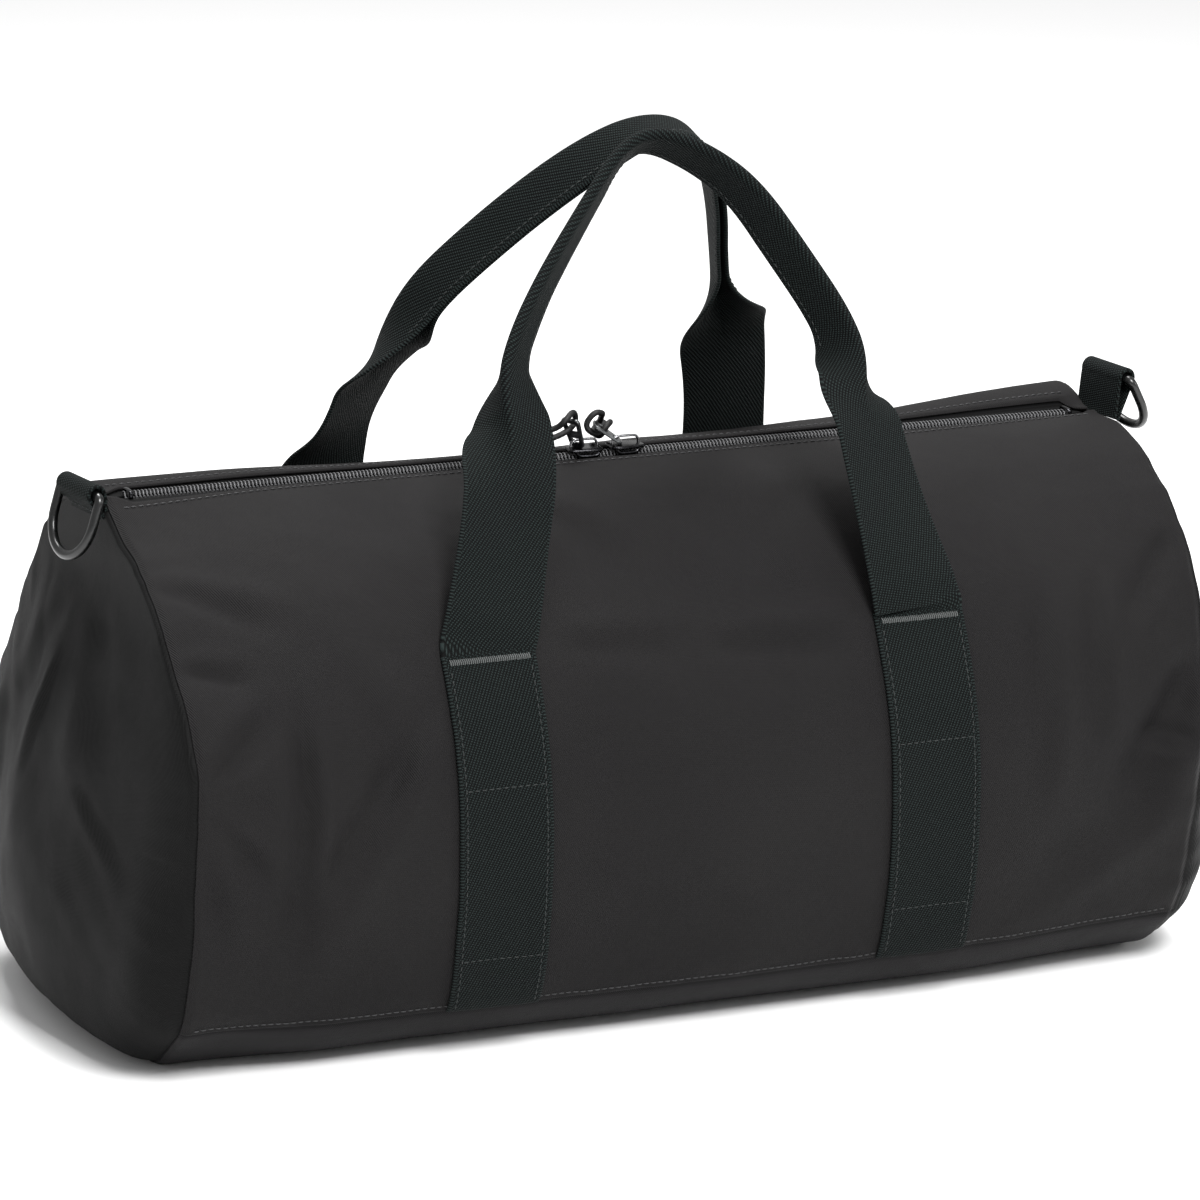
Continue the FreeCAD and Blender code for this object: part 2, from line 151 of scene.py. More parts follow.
def curve_mesh(data):
    """The points and faces that Blender makes of a curve."""
    obj = add_object("curve", data)
    bpy.context.view_layer.update()
    mesh = bpy.data.meshes.new_from_object(obj)
    bpy.data.objects.remove(obj)
    verts = np.array([v.co[:] for v in mesh.vertices])
    faces = [list(p.vertices) for p in mesh.polygons]
    bpy.data.meshes.remove(mesh)
    return verts, faces


def cord_line(route, pull):
    """The smooth line of a cord along its route."""
    data = bpy.data.curves.new("line", "CURVE")
    data.dimensions = "3D"
    data.resolution_u = 16
    spline = data.splines.new("NURBS")
    spline.points.add(len(route) - 1)
    for point, step in zip(spline.points, route):
        point.co = (*(pull.at(*step) * MM), 1)
    spline.order_u = 3
    spline.use_endpoint_u = True
    return curve_mesh(data)[0] / MM


# ---- noise and small maths
def smooth(v, low=0.0, high=1.0):
    """0 below low and 1 above high, with level ends."""
    v = np.clip((np.asarray(v, float) - low) / (high - low), 0, 1)
    return v * v * (3 - 2 * v)


def unit(v):
    """The same directions at length 1."""
    return v / np.linalg.norm(v, axis=-1, keepdims=True)


def distance_along(path):
    """How far along a path each of its points is."""
    return np.r_[[0], np.cumsum(np.linalg.norm(np.diff(path, axis=0), axis=1))]


def points_at(at, marks, path):
    """Points of a path at distances along it, where marks are its own points' distances."""
    return np.stack([np.interp(at, marks, path[:, k]) for k in range(3)], -1)


def table(x, *pairs):
    """A smooth curve through (place, value) pairs."""
    xs, ys = (np.array(c, float) for c in zip(*pairs))
    x = np.clip(np.asarray(x, float), xs[0], xs[-1])
    i = np.clip(np.searchsorted(xs, x, side="right") - 1, 0, len(xs) - 2)
    t = (x - xs[i]) / (xs[i + 1] - xs[i])
    slope = np.gradient(ys, xs)
    h = xs[i + 1] - xs[i]
    return ((2 * t**3 - 3 * t**2 + 1) * ys[i] + (t**3 - 2 * t**2 + t) * h * slope[i]
            + (3 * t**2 - 2 * t**3) * ys[i + 1] + (t**3 - t**2) * h * slope[i + 1])


def hill(v, middle, width):
    """A bell of height 1."""
    return np.exp(-((v - middle) / width) ** 2)


LATTICE = rng.uniform(-1, 1, (64, 64))


def noise(u, v, period, seed=0):
    """Smooth random hills about period across, from -1 to 1."""
    u = np.asarray(u, float) / period + 17.3 * seed
    v = np.asarray(v, float) / period + 5.1 * seed
    iu, iv = np.floor(u).astype(int), np.floor(v).astype(int)
    a, b = smooth(u - iu), smooth(v - iv)

    def pick(i, j):
        return LATTICE[i % 64, j % 64]

    return ((pick(iu, iv) * (1 - a) + pick(iu + 1, iv) * a) * (1 - b)
            + (pick(iu, iv + 1) * (1 - a) + pick(iu + 1, iv + 1) * a) * b)


# ---- the barrel's surface
TOP_R, SIDE_R, FOOT_R, CENTRE_Z = 130.0, 260.0, 52.0, 118.0
LEAN = asin((CENTRE_Z - FOOT_R) / (SIDE_R - FOOT_R))
FOOT_Y = -TOP_R + (SIDE_R - FOOT_R) * cos(LEAN)
S_SIDE = TOP_R * pi / 2
S_FOOT = S_SIDE + SIDE_R * LEAN
S_BASE = S_FOOT + FOOT_R * (pi / 2 - LEAN)
S_ALL = S_BASE + FOOT_Y
S_SEAM = S_FOOT + FOOT_R * (asin(28 / 52) - LEAN)   # where the base panel is sewn on
S_MOUTH = 9.5         # the panels' edges beside the zip
STOP = 237.0          # the zip's end stops, from the middle
STRAP = 107.0         # the straps' tacks, from the middle
WEB_LIFT = 1.15       # the middle of sewn webbing, above the cloth


def height_to_s(z):
    """Distance round the outline, from the mouth, of a height on the top arc."""
    return TOP_R * acos((z - CENTRE_Z) / TOP_R)


def outline(s):
    """Place and outward direction on the barrel's outline; s is negative on the front."""
    s = np.asarray(s, float)
    a, side = np.abs(s), np.where(s < 0, -1.0, 1.0)
    q1 = a / TOP_R
    q2 = np.clip((a - S_SIDE) / SIDE_R, 0, LEAN)
    q3 = np.clip(LEAN + (a - S_FOOT) / FOOT_R, LEAN, pi / 2)
    ny = np.where(a < S_SIDE, np.sin(q1), np.where(a < S_FOOT, np.cos(q2), np.cos(q3)))
    nz = np.where(a < S_SIDE, np.cos(q1), np.where(a < S_FOOT, -np.sin(q2), -np.sin(q3)))
    y = np.where(a < S_SIDE, TOP_R * ny,
                 np.where(a < S_FOOT, -TOP_R + SIDE_R * ny, FOOT_Y + FOOT_R * ny))
    z = np.where(a < S_SIDE, CENTRE_Z + TOP_R * nz,
                 np.where(a < S_FOOT, CENTRE_Z + SIDE_R * nz, FOOT_R + FOOT_R * nz))
    flat = a > S_BASE
    y = np.where(flat, FOOT_Y - (a - S_BASE), y)
    return side * y, np.where(flat, 0.0, z), side * np.where(flat, 0.0, ny), np.where(flat, -1.0, nz)


def crease(x, s, start, end, width, depth, roll=0.0):
    """A soft fold along a line: a valley of that depth, with one lip raised by roll."""
    p, q = np.array(start, float), np.array(end, float)
    d = q - p
    long = hypot(*d)
    t = ((x - p[0]) * d[0] + (s - p[1]) * d[1]) / long**2
    off = ((x - p[0]) * -d[1] + (s - p[1]) * d[0]) / long
    w = width * (0.55 + 0.45 * np.clip(t, 0, 1))
    ends = smooth(t, -0.08, 0.3) * smooth(-t, -1.08, -0.62)
    return ends * (-depth * hill(off, 0, w) + roll * hill(off, 1.6 * w, 1.1 * w))


def puckers(s, seed):
    """Uneven ripples along a seam, from -1 to 1."""
    return 0.65 * noise(s, 0 * s, 15, seed) + 0.45 * noise(s, 0 * s, 7.5, seed + 3)


FOLD_DEPTH = 2.0      # scales every fold below
FRONT_FOLDS = [
    # start (x, s), end, width, depth, raised lip
    ((-251, 180), (-206, 142), 8, 1.7, 1.1), ((-251, 181), (-205, 188), 8, 1.2, 0.7),
    ((-251, 182), (-214, 226), 8, 1.5, 1.0), ((-251, 184), (-236, 262), 8, 1.1, 0.7),
    ((-199, 138), (-203, 262), 8, 1.9, 1.5), ((-140, 150), (-214, 268), 12, 2.2, 1.6),
    ((-178, 120), (-150, 210), 13, 0.9, 0.6), ((-76, 128), (-4, 136), 9, 1.1, 0.9),
    ((-4, 136), (80, 141), 9, 1.0, 0.9), ((249, 158), (205, 244), 15, 4.6, 1.6),
    ((168, 122), (161, 232), 9, 1.3, 0.9), ((197, 116), (190, 206), 8, 1.4, 1.0),
    ((250, 96), (206, 150), 9, 1.6, 1.0), ((250, 205), (214, 196), 7, 1.5, 1.0),
    ((-249, 70), (-196, 112), 9, 1.4, 0.9), ((-250, 120), (-214, 132), 7, 1.2, 0.8),
    ((-66, 44), (-24, 96), 12, 1.0, 0.8), ((70, 52), (28, 104), 12, 0.9, 0.7),
    ((-60, 250), (30, 268), 16, 0.8, 0.4), ((236, 232), (150, 272), 14, 1.2, 0.8),
]
BACK_FOLDS = [
    ((-251, 150), (-208, 128), 7, 1.7, 1.0), ((-251, 170), (-200, 204), 8, 1.7, 1.1),
    ((251, 176), (206, 152), 7, 1.8, 1.1), ((251, 180), (212, 224), 8, 1.6, 1.0),
    ((196, 132), (203, 226), 8, 1.3, 0.9), ((-152, 146), (-206, 250), 12, 1.7, 1.2),
    ((-72, 132), (6, 140), 9, 1.1, 0.9), ((6, 140), (78, 133), 9, 1.0, 0.8),
    ((146, 150), (214, 262), 11, 1.6, 1.1), ((40, 190), (-30, 262), 16, 1.0, 0.7),
    ((-250, 86), (-204, 106), 8, 1.4, 0.9), ((250, 92), (198, 118), 9, 1.4, 0.9),
]


def relief(x, s):
    """How far the cloth stands off the plain barrel: its slackness, folds and seam puckers."""
    x, s = np.broadcast_arrays(np.asarray(x, float), np.asarray(s, float))
    a = np.abs(s)
    front = s < 0
    left = 1 - smooth(x, -250, -165)
    right = smooth(x, 130, 250)
    shape = left * np.where(
        front,
        table(a, (0, 0), (9.5, -2), (30, -8), (55, -8.5), (85, -5.5), (120, -4.5), (150, 3), (176, 6),
              (205, 2), (245, 0.5), (290, -1), (320, -5), (350, 0), (421, 0)),
        table(a, (0, 0), (9.5, -1), (26, 0), (52, -3), (85, -6), (130, -7.5), (160, -5), (190, 2), (215, 3),
              (250, 1), (300, -2), (350, 0), (421, 0)))
    shape += right * np.where(
        front,
        table(a, (0, 0), (9.5, 1), (30, 4.5), (60, 5), (90, 5), (115, 3.5), (140, 1), (165, -2),
              (205, -3), (235, -4.5), (265, -4), (290, -5), (325, -5.5), (352, -1.5), (385, 0), (421, 0)),
        table(a, (0, 0), (9.5, 2.5), (24, 6), (50, 5.5), (80, 4), (120, 0), (160, -4), (200, 3), (240, 2),
              (290, -2), (350, 0), (421, 0)))
    shape += 4.0 * smooth(x, 60, 210) * hill(a, 26, 18) * ~front
    shape += 2.6 * smooth(-x, 90, 190) * smooth(-x, -249, -225) * hill(a, 22, 16) * ~front
    free = smooth(a, 12, 60) * smooth(-a, -S_BASE, -S_BASE + 60)      # away from zip and base
    shape += -2.2 * smooth(a, 9, 40) * hill(x, -20, 110) * hill(a, 0, 90)
    shape += free * (2.4 * noise(x, s, 125, 1) + 1.1 * noise(x, s * 0.8, 52, 2)
                     + 0.45 * noise(x, s, 23, 3) + 0.16 * noise(x, s, 9, 4))
    strap = hill(np.abs(x), STRAP, 30) * smooth(a, 110, 150)
    shape -= 1.3 * strap * smooth(-a, -S_SEAM, -S_SEAM + 30)
    for folds, sign in ((FRONT_FOLDS, -1), (BACK_FOLDS, 1)):
        for (x0, s0), (x1, s1), width, depth, lip in folds:
            fold = crease(x, s, (x0, sign * s0), (x1, sign * s1), width, depth, lip)
            shape += FOLD_DEPTH * fold * (s * sign > 0)
    for end in (-1, 1):
        near = np.clip(HALF - end * x, 0, None)
        gather = np.exp(-near / 13) * smooth(a, 14, 40) * smooth(-a, -S_BASE, -S_SEAM)
        shape += 1.5 * puckers(s, 5 + end) * gather
        shape -= 1.4 * hill(near, 0, 1.9) * smooth(a, 4, 10)
    seam = np.abs(a - S_SEAM)
    shape += 0.7 * puckers(x, 9) * np.exp(-seam / 9) * smooth(-a, -S_SEAM, -S_SEAM + 3)
    shape += 9.0 * hill(x, -240, 10) * ~front * (
        hill(a, 58, 9) + hill(a, 84, 8) - 0.8 * hill(a, 71, 5))
    shape *= smooth(a, 5.5, 11)                                       # the coils run straight
    return np.where(a > S_BASE - 12, np.minimum(shape, 0), shape)


def surf(x, s, lift=0.0):
    """Points on the cloth, x along the bag and s round it, raised by lift."""
    x, s, lift = np.broadcast_arrays(*(np.asarray(v, float) for v in (x, s, lift)))
    y, z, ny, nz = outline(s)
    off = relief(x, s) + lift
    return np.stack([x, y + ny * off, z + nz * off], -1)


def surf_normal(x, s):
    """The outward direction of the cloth at x, s."""
    e = 0.6
    a = surf(x + e, s) - surf(x - e, s)
    b = surf(x, s + e) - surf(x, s - e)
    n = unit(np.cross(a, b))
    _, _, ny, nz = outline(s)
    flip = np.sign(n[..., 1] * ny + n[..., 2] * nz)
    return n * flip[..., None]


# ---- mesh builders
def mesh_object(name, verts, faces, uv=None, slot=None, body="bag", replaces=(), sharp=35, blend=None):
    """A smooth-shaded piece in millimetres that rides a body and may stand for CAD nodes."""
    data = bpy.data.meshes.new(name)
    data.from_pydata((np.asarray(verts) * MM).tolist(), [], faces)
    if uv is not None:
        layer = data.uv_layers.new(name="UVMap")
        loops = np.empty(len(data.loops), int)
        data.loops.foreach_get("vertex_index", loops)
        layer.data.foreach_set("uv", np.asarray(uv, np.float32)[loops].ravel())
    data.validate()
    bm = bmesh.new()
    bm.from_mesh(data)
    bmesh.ops.recalc_face_normals(bm, faces=bm.faces)
    bm.to_mesh(data)
    bm.free()
    data.polygons.foreach_set("use_smooth", [True] * len(data.polygons))
    data.set_sharp_from_angle(angle=radians(sharp))
    obj = add_object(name, data)
    if slot:
        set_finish(obj, slot)
    if replaces:
        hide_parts(*replaces)
    if blend:
        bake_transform(obj)
    else:
        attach(obj, body)
    return obj


def grid_faces(n, m, start=0, loop_n=False, loop_m=False):
    """Faces of an n by m grid of points, closed on itself either way if asked."""
    i = np.arange(n if loop_n else n - 1)
    j = np.arange(m if loop_m else m - 1)
    i, j = np.meshgrid(i, j, indexing="ij")
    i2, j2 = (i + 1) % n, (j + 1) % m
    return (start + np.stack([i * m + j, i2 * m + j, i2 * m + j2, i * m + j2], -1).reshape(-1, 4)).tolist()


def slab(name, outer, inner, uv, **how):
    """A closed sheet between two grids of points; uv is the outer grid's, in millimetres."""
    n, m = outer.shape[:2]
    k = n * m
    faces = grid_faces(n, m) + [f[::-1] for f in grid_faces(n, m, k)]
    rim = ([i * m for i in range(n)] + [(n - 1) * m + j for j in range(1, m)]
           + [i * m + m - 1 for i in range(n - 2, -1, -1)] + list(range(m - 2, 0, -1)))
    faces += [[a, b, b + k, a + k] for a, b in zip(rim, rim[1:] + rim[:1])]
    verts = np.r_[outer.reshape(-1, 3), inner.reshape(-1, 3)]
    flat = np.asarray(uv, float).reshape(-1, 2)
    mesh_object(name, verts, faces, np.r_[flat, flat], **how)


def sheet(name, x, s, top, foot, **how):
    """A slab that follows the cloth between two heights above it."""
    slab(name, surf(x, s, top), surf(x, s, foot), np.stack([x, s], -1), **how)


def rings_mesh(rings, close=False):
    """Verts and faces of a tube through rings of points."""
    n, m = rings.shape[:2]
    faces = grid_faces(n, m, loop_n=close, loop_m=True)
    if not close:
        faces += [list(range(m))[::-1], [(n - 1) * m + j for j in range(m)]]
    return rings.reshape(-1, 3), faces


def merge(parts):
    """Several (verts, faces) as one."""
    verts, faces, k = [], [], 0
    for v, f in parts:
        verts.append(v)
        faces += [[i + k for i in face] for face in f]
        k += len(v)
    return np.concatenate(verts), faces


def frames(path, up):
    """Tangent, side and up directions along a path; up is a direction or one per point."""
    t = unit(np.gradient(path, axis=0))
    side = unit(np.cross(t, np.broadcast_to(up, path.shape)))
    return t, side, np.cross(side, t)


def tube(path, radius, up=(0, 0, 1), sides=8, close=False, flat=1.0):
    """A round bar along a path; radius may vary along it."""
    path = np.asarray(path, float)
    if close:
        wrapped = np.r_[path[-1:], path, path[:1]]
        _, side, top = frames(wrapped, up)
        side, top = side[1:-1], top[1:-1]
    else:
        _, side, top = frames(path, up)
    q = np.linspace(0, 2 * pi, sides, endpoint=False)
    r = np.broadcast_to(radius, len(path))[:, None, None]
    rings = path[:, None] + r * (np.cos(q)[None, :, None] * side[:, None]
                                 + flat * np.sin(q)[None, :, None] * top[:, None])
    return rings_mesh(rings, close=close)


def arc(u, v, radius, start, stop, count):
    """Points round part of a circle about (u, v), by angles in degrees."""
    return [(u + radius * cos(q), v + radius * sin(q)) for q in np.radians(np.linspace(start, stop, count))]


def bend_between(a, corner, b, t):
    """A quadratic curve from a to b that is drawn towards corner."""
    return (1 - t) ** 2 * a + 2 * t * (1 - t) * corner + t**2 * b


def bspline(points, per=12):
    """A smooth line with those control points, touching its two ends."""
    p = np.asarray(points, float)
    out = []
    for i in range(1, len(p) - 1):
        a = p[0] if i == 1 else (p[i - 1] + p[i]) / 2
        b = p[-1] if i == len(p) - 2 else (p[i] + p[i + 1]) / 2
        t = np.linspace(0, 1, per, endpoint=i == len(p) - 2)[:, None]
        out.append(bend_between(a, p[i], b, t))
    return np.concatenate(out)


def even(path, step):
    """The same line with points step apart, and the distance along it."""
    run = distance_along(path)
    n = max(2, int(round(run[-1] / step)) + 1)
    at = np.linspace(0, run[-1], n)
    return points_at(at, run, path), at


def thread_row(path, normal, stitch=2.6, gap=0.9, radius=0.34, lift=0.05):
    """A row of sewn stitches along a line, each a thread that dips at both ends."""
    dense, at = even(path, 0.5)
    n = points_at(at, np.linspace(0, at[-1], len(path)), normal)
    parts = []
    place = 0.4
    t = np.linspace(0, 1, 5)
    while place + stitch < at[-1]:
        d = place + t * stitch * rng.uniform(0.94, 1.04)
        line, out = points_at(d, at, dense), points_at(d, at, n)
        line += out * (lift + radius * 0.9 * (np.sin(pi * t) ** 0.6) - 0.25)[:, None]
        parts.append(tube(line, radius * np.array([0.55, 1, 1, 1, 0.55]), out, sides=5))
        place += stitch + gap
    return parts


def surf_row(x, s, lift=0.0, **how):
    """Stitches along a line on the cloth."""
    return thread_row(surf(x, s, lift), surf_normal(x, s), **how)


def sewing(name, rows, slot="thread", **how):
    """A piece made of rows of stitches."""
    mesh_object(name, *merge(rows), slot=slot, sharp=80, **how)


# ---- pull cords
for label, route, pull, long in (
    ("left", LEFT_ROUTE, LEFT_PULL, 0.0584), ("right", RIGHT_ROUTE, RIGHT_PULL, 0.0564),
):
    line = cord_line(route, pull)
    run, at = even(line, 0.3)
    _, side, top = frames(run, (0.31, 0.22, 0.92))
    q = np.linspace(0, 2 * pi, 24, endpoint=False)
    turn = at[:, None] * 1.5
    braid = np.abs(np.sin(4 * q[None] + turn)) + np.abs(np.sin(4 * q[None] - turn))
    r = (1.27 + 0.09 * braid)[..., None]
    around = np.cos(q)[None, :, None] * side[:, None] + np.sin(q)[None, :, None] * top[:, None]
    rings = run[:, None] + r * around
    verts, faces = rings_mesh(rings)
    piece = mesh_object("cord_" + label, verts, faces, slot="cord", body=label + "_pull",
                        replaces=("pull_cord_" + label,), sharp=80)
    tuple(pull.at(*route[0]) * MM)


# ---- cloth panels
CLOSER = np.array([0.7, 1.5, 2.4, 4])   # extra stations beside the end seams
XS = np.unique(np.r_[np.linspace(-HALF, HALF, 171), -HALF + CLOSER, HALF - CLOSER])


def panel(name, node, sign):
    """A front or back panel: turned edge at the zip, lapped over the base at its foot."""
    body = np.arange(13.5, S_SEAM - 3, 3.0)
    s = np.r_[[10.3, 9.7, 9.45, 9.7, 10.4, 11.6], body, S_SEAM + np.array([-2.2, -1, -0.2, 0.2])]
    lift = np.r_[[-1.6, -1.3, -0.7, -0.1, 0.2, 0.25],
                 0.25 * np.exp(-(body - 12) / 3) - 0.35 * hill(body, 14, 1.5),
                 [0.1, 0.35, 0.1, -0.6]]
    back_s = s.copy()
    back_s[:6] = 10.7 + 0.2 * np.arange(6)
    back_lift = np.full(len(s), -1.7)
    x, ss = np.meshgrid(XS, sign * s, indexing="ij")
    # past the zip stops the mouth closes
    closing = sign * 7.2 * smooth(np.abs(XS), STOP + 0.5, 249)[:, None]
    closing = closing * np.exp(-np.clip(s - S_MOUTH, 0, None) / 9)
    outer = surf(x, ss - closing, lift)
    inner = surf(x, sign * back_s - closing, back_lift)
    slab(name, outer, inner, np.stack([x, ss], -1), slot="body_cloth", replaces=(node,))


panel("front_cloth", "front_panel", -1)
panel("back_cloth", "back_panel", 1)

REACH = S_ALL - S_SEAM                  # half the base panel's width, round the outline
b = np.r_[-REACH + np.array([-1.2, 0.8, 2.2]), np.linspace(-REACH + 4, REACH - 4, 78),
          REACH + np.array([-2.2, -0.8, 1.2])]
s_base = np.where(b < 0, -(S_ALL + b), S_ALL - b)
lift_base = -1.3 + 1.3 * smooth(REACH - np.abs(b), -1.5, 3.5)
x, s = np.meshgrid(XS, s_base, indexing="ij")
slab("base_cloth", surf(x, s, lift_base), surf(x, s, lift_base - 1.5),
     np.stack([x, np.broadcast_to(b, x.shape)], -1), slot="base_cloth", replaces=("base_panel",))


# soft folds that fan out below a ring: angle, width, depth, length
SOFT_CREASES = [(-122, 17, 1.6, 120), (-92, 20, 1.5, 168), (-64, 15, 1.3, 140)]
SHARP_CREASES = [   # start (y, z), end, width, depth on the left end panel
    ((4, 176), (20, 108), 5, 1.1), ((-40, 128), (-92, 98), 7, 0.9), ((66, 150), (70, 74), 14, 1.6),
]
CORE = np.array([0.0, 112.0])           # (y, z) of an end panel's middle


def bulge(end, y, z, rho):
    """How far an end panel stands out from its seam; the top stays flat behind the ring."""
    if end < 0:
        full = table(z, (-5, 37), (30, 34), (70, 36), (110, 32), (150, 23), (185, 11), (208, 3),
                     (250, 1))
    else:
        full = table(z, (-5, 22), (30, 28), (70, 30), (110, 28), (150, 21), (185, 10), (205, 2.5),
                     (250, 0.5))
    full = full * (0.86 + 0.14 * np.cos(np.clip(np.abs(y) / 90, 0, 1) * pi))
    dome = (1 - rho ** (4.2 + 7 * smooth(-z, -110, -15))) ** 0.85
    out = full * dome
    quiet = smooth(-rho, -0.98, -0.7)
    ring_side = smooth(-z, -214, -196)
    out = out + quiet * ring_side * (3.0 * noise(y, z, 70, 21 + end) + 1.4 * noise(y, z, 31, 23 + end)
                                     + 0.45 * noise(y, z, 14, 25))
    if end < 0:
        for start, stop, width, depth in SHARP_CREASES:
            out = out + quiet * crease(y, z, start, stop, width, depth, depth)
    ring = np.array([0.0, 232.0])
    for angle, width, depth, long in SOFT_CREASES:
        q = radians(angle)
        away = np.array([cos(q), sin(q)])
        start, stop = ring + 30 * away, ring + long * away
        out = out + quiet * crease(y * -end, z, start, stop, width, depth, depth * 0.7) * ring_side
    around = 120 * np.arctan2(z - CORE[1], y)
    rim = smooth(rho, 0.7, 0.96) * smooth(-rho, -0.995, -0.93)
    return out + 0.7 * puckers(around, 31 + end) * rim * ring_side


def end_cap(name, node, end):
    """An end panel: sewn to the barrel all round and pushed out by what is inside."""
    turn = np.linspace(-S_ALL, S_ALL, 361)[:-1]
    edge = surf(end * HALF, turn, -1.0)[:, 1:]
    rho = np.r_[[1.0, 0.997, 0.991, 0.98, 0.965], np.linspace(0.95, 0.012, 56)]
    ridge = np.r_[[0.0, 1.1, 1.8, 1.9, 1.8], np.full(56, 1.8)]

    def skin(depth):
        rings = []
        for r, lip in zip(rho, ridge):
            yz = CORE + (edge - CORE) * r
            x = end * (HALF + 0.2 + lip - depth + bulge(end, yz[:, 0], yz[:, 1], r))
            rings.append(np.column_stack([x, yz]))
        return np.array(rings)

    rings = np.r_[skin(1.3)[::-1], skin(0)]
    verts, faces = rings_mesh(rings)
    mesh_object(name, verts, faces, verts[:, 1:] * [end, 1], slot="end_cloth", replaces=(node,))


end_cap("left_end_cloth", "left_end_panel", -1)
end_cap("right_end_cloth", "right_end_panel", 1)

# the lining follows the cloth inside it, and stops short of the zip tapes
run = np.linspace(21, S_ALL, 60)
s_line = np.r_[-run, run[::-1][1:]]
x, s = np.meshgrid(np.linspace(-HALF + 2, HALF - 2, 90), s_line, indexing="ij")
sheet("lining_tube", x, s, -2.6, -3.1, slot="lining", replaces=("body_lining",))
for label, end in (("left", -1), ("right", 1)):
    turn = np.linspace(-S_ALL, S_ALL, 181)[:-1]
    edge = surf(end * (HALF - 3), turn, -3.4)[:, 1:]
    rings = [np.column_stack([np.full(180, end * (HALF - 1.6 - d)), CORE + (edge - CORE) * r])
             for d, rs in ((0.5, (0.02, 0.5, 1.0)), (0.0, (1.0, 0.5, 0.02))) for r in rs]
    verts, faces = rings_mesh(np.array(rings))
    mesh_object(label + "_lining_end", verts, faces, verts[:, 1:], slot="lining",
                replaces=(label + "_end_lining",))


# ---- zip
COIL_Z = 245.85       # the coils stand on the tapes at this height
PITCH = 1.75          # from one turn of a coil to the next
COIL_END = 239.2      # where the last turn may stand
for label, sign in (("front", -1), ("back", 1)):
    x, s = np.meshgrid(np.linspace(-246, 246, 150), sign * np.linspace(1.7, 20, 12), indexing="ij")
    sheet("zip_tape_woven_" + label, x, s, -2.1, -2.85, slot="zip_tape", replaces=("zip_tape_" + label,))
    loop = np.array([(3.3, 0.35), (3.35, 1.5), (2.5, 2.05), (1.3, 2.1), (0.66, 1.75), (0.64, 0.95),
                     (1.3, 0.45), (3.1, 0.4)])
    slant = np.array([0, 0.05, 0.15, 0.3, 0.4, 0.5, 0.6, 0.8])
    offset = 0 if sign < 0 else PITCH / 2
    line = bspline(np.column_stack([slant, sign * loop[:, 0], COIL_Z + loop[:, 1]]), 3)
    v, f = tube(line, 0.27, (1, 0, 0), sides=6)
    turns = [(v + [x0, 0, 0], f) for x0 in np.arange(-239.5 + offset, COIL_END, PITCH)]
    v, f = merge(turns)
    mesh_object("zip_teeth_" + label, v, f, slot="zip_coil", replaces=("zip_coil_" + label,), sharp=80)
    sewing("zip_sewing_" + label, surf_row(np.linspace(-239, 239, 320), sign * 3.75, -2.1,
                                           stitch=1.5, gap=0.5, radius=0.2))

for label, place in (("left", -STOP), ("right", STOP)):
    arch = bspline([(place, -4.35, 245.9), (place, -4.4, 248.3), (place, -3.6, 249.1), (place, 0, 249.2),
                    (place, 3.6, 249.1), (place, 4.4, 248.3), (place, 4.35, 245.9)], 6)
    v, f = tube(arch, 0.55, (1, 0, 0), sides=10, flat=2.0)
    mesh_object("zip_end_stop_" + label, v, f, slot="slider_metal", replaces=("zip_stop_" + label,), sharp=80)


def plate(outline_xy, z0, z1, bevel):
    """A flat plate with softened edges; the outline runs round once."""
    p = np.asarray(outline_xy, float)
    t = np.roll(p, -1, 0) - np.roll(p, 1, 0)
    n = np.column_stack([t[:, 1], -t[:, 0]]) / np.linalg.norm(t, axis=1)[:, None]
    if np.sum(p[:, 0] * np.roll(p[:, 1], -1) - np.roll(p[:, 0], -1) * p[:, 1]) < 0:
        n = -n
    levels = [(z0, 1.0), (z0 + 0.3 * bevel, 0.3), (z0 + bevel, 0),
              (z1 - bevel, 0), (z1 - 0.3 * bevel, 0.3), (z1, 1.0)]
    rings = [np.column_stack([p - n * bevel * k, np.full(len(p), z)]) for z, k in levels]
    return rings_mesh(np.array(rings))


def round_outline(points, per=7):
    """A closed smooth outline through the middles of these corners."""
    p = np.asarray(points, float)
    out = []
    for i in range(len(p)):
        a, b = (p[i - 1] + p[i]) / 2, (p[i] + p[(i + 1) % len(p)]) / 2
        t = np.linspace(0, 1, per, endpoint=False)[:, None]
        out.append(bend_between(a, p[i], b, t))
    return np.concatenate(out)


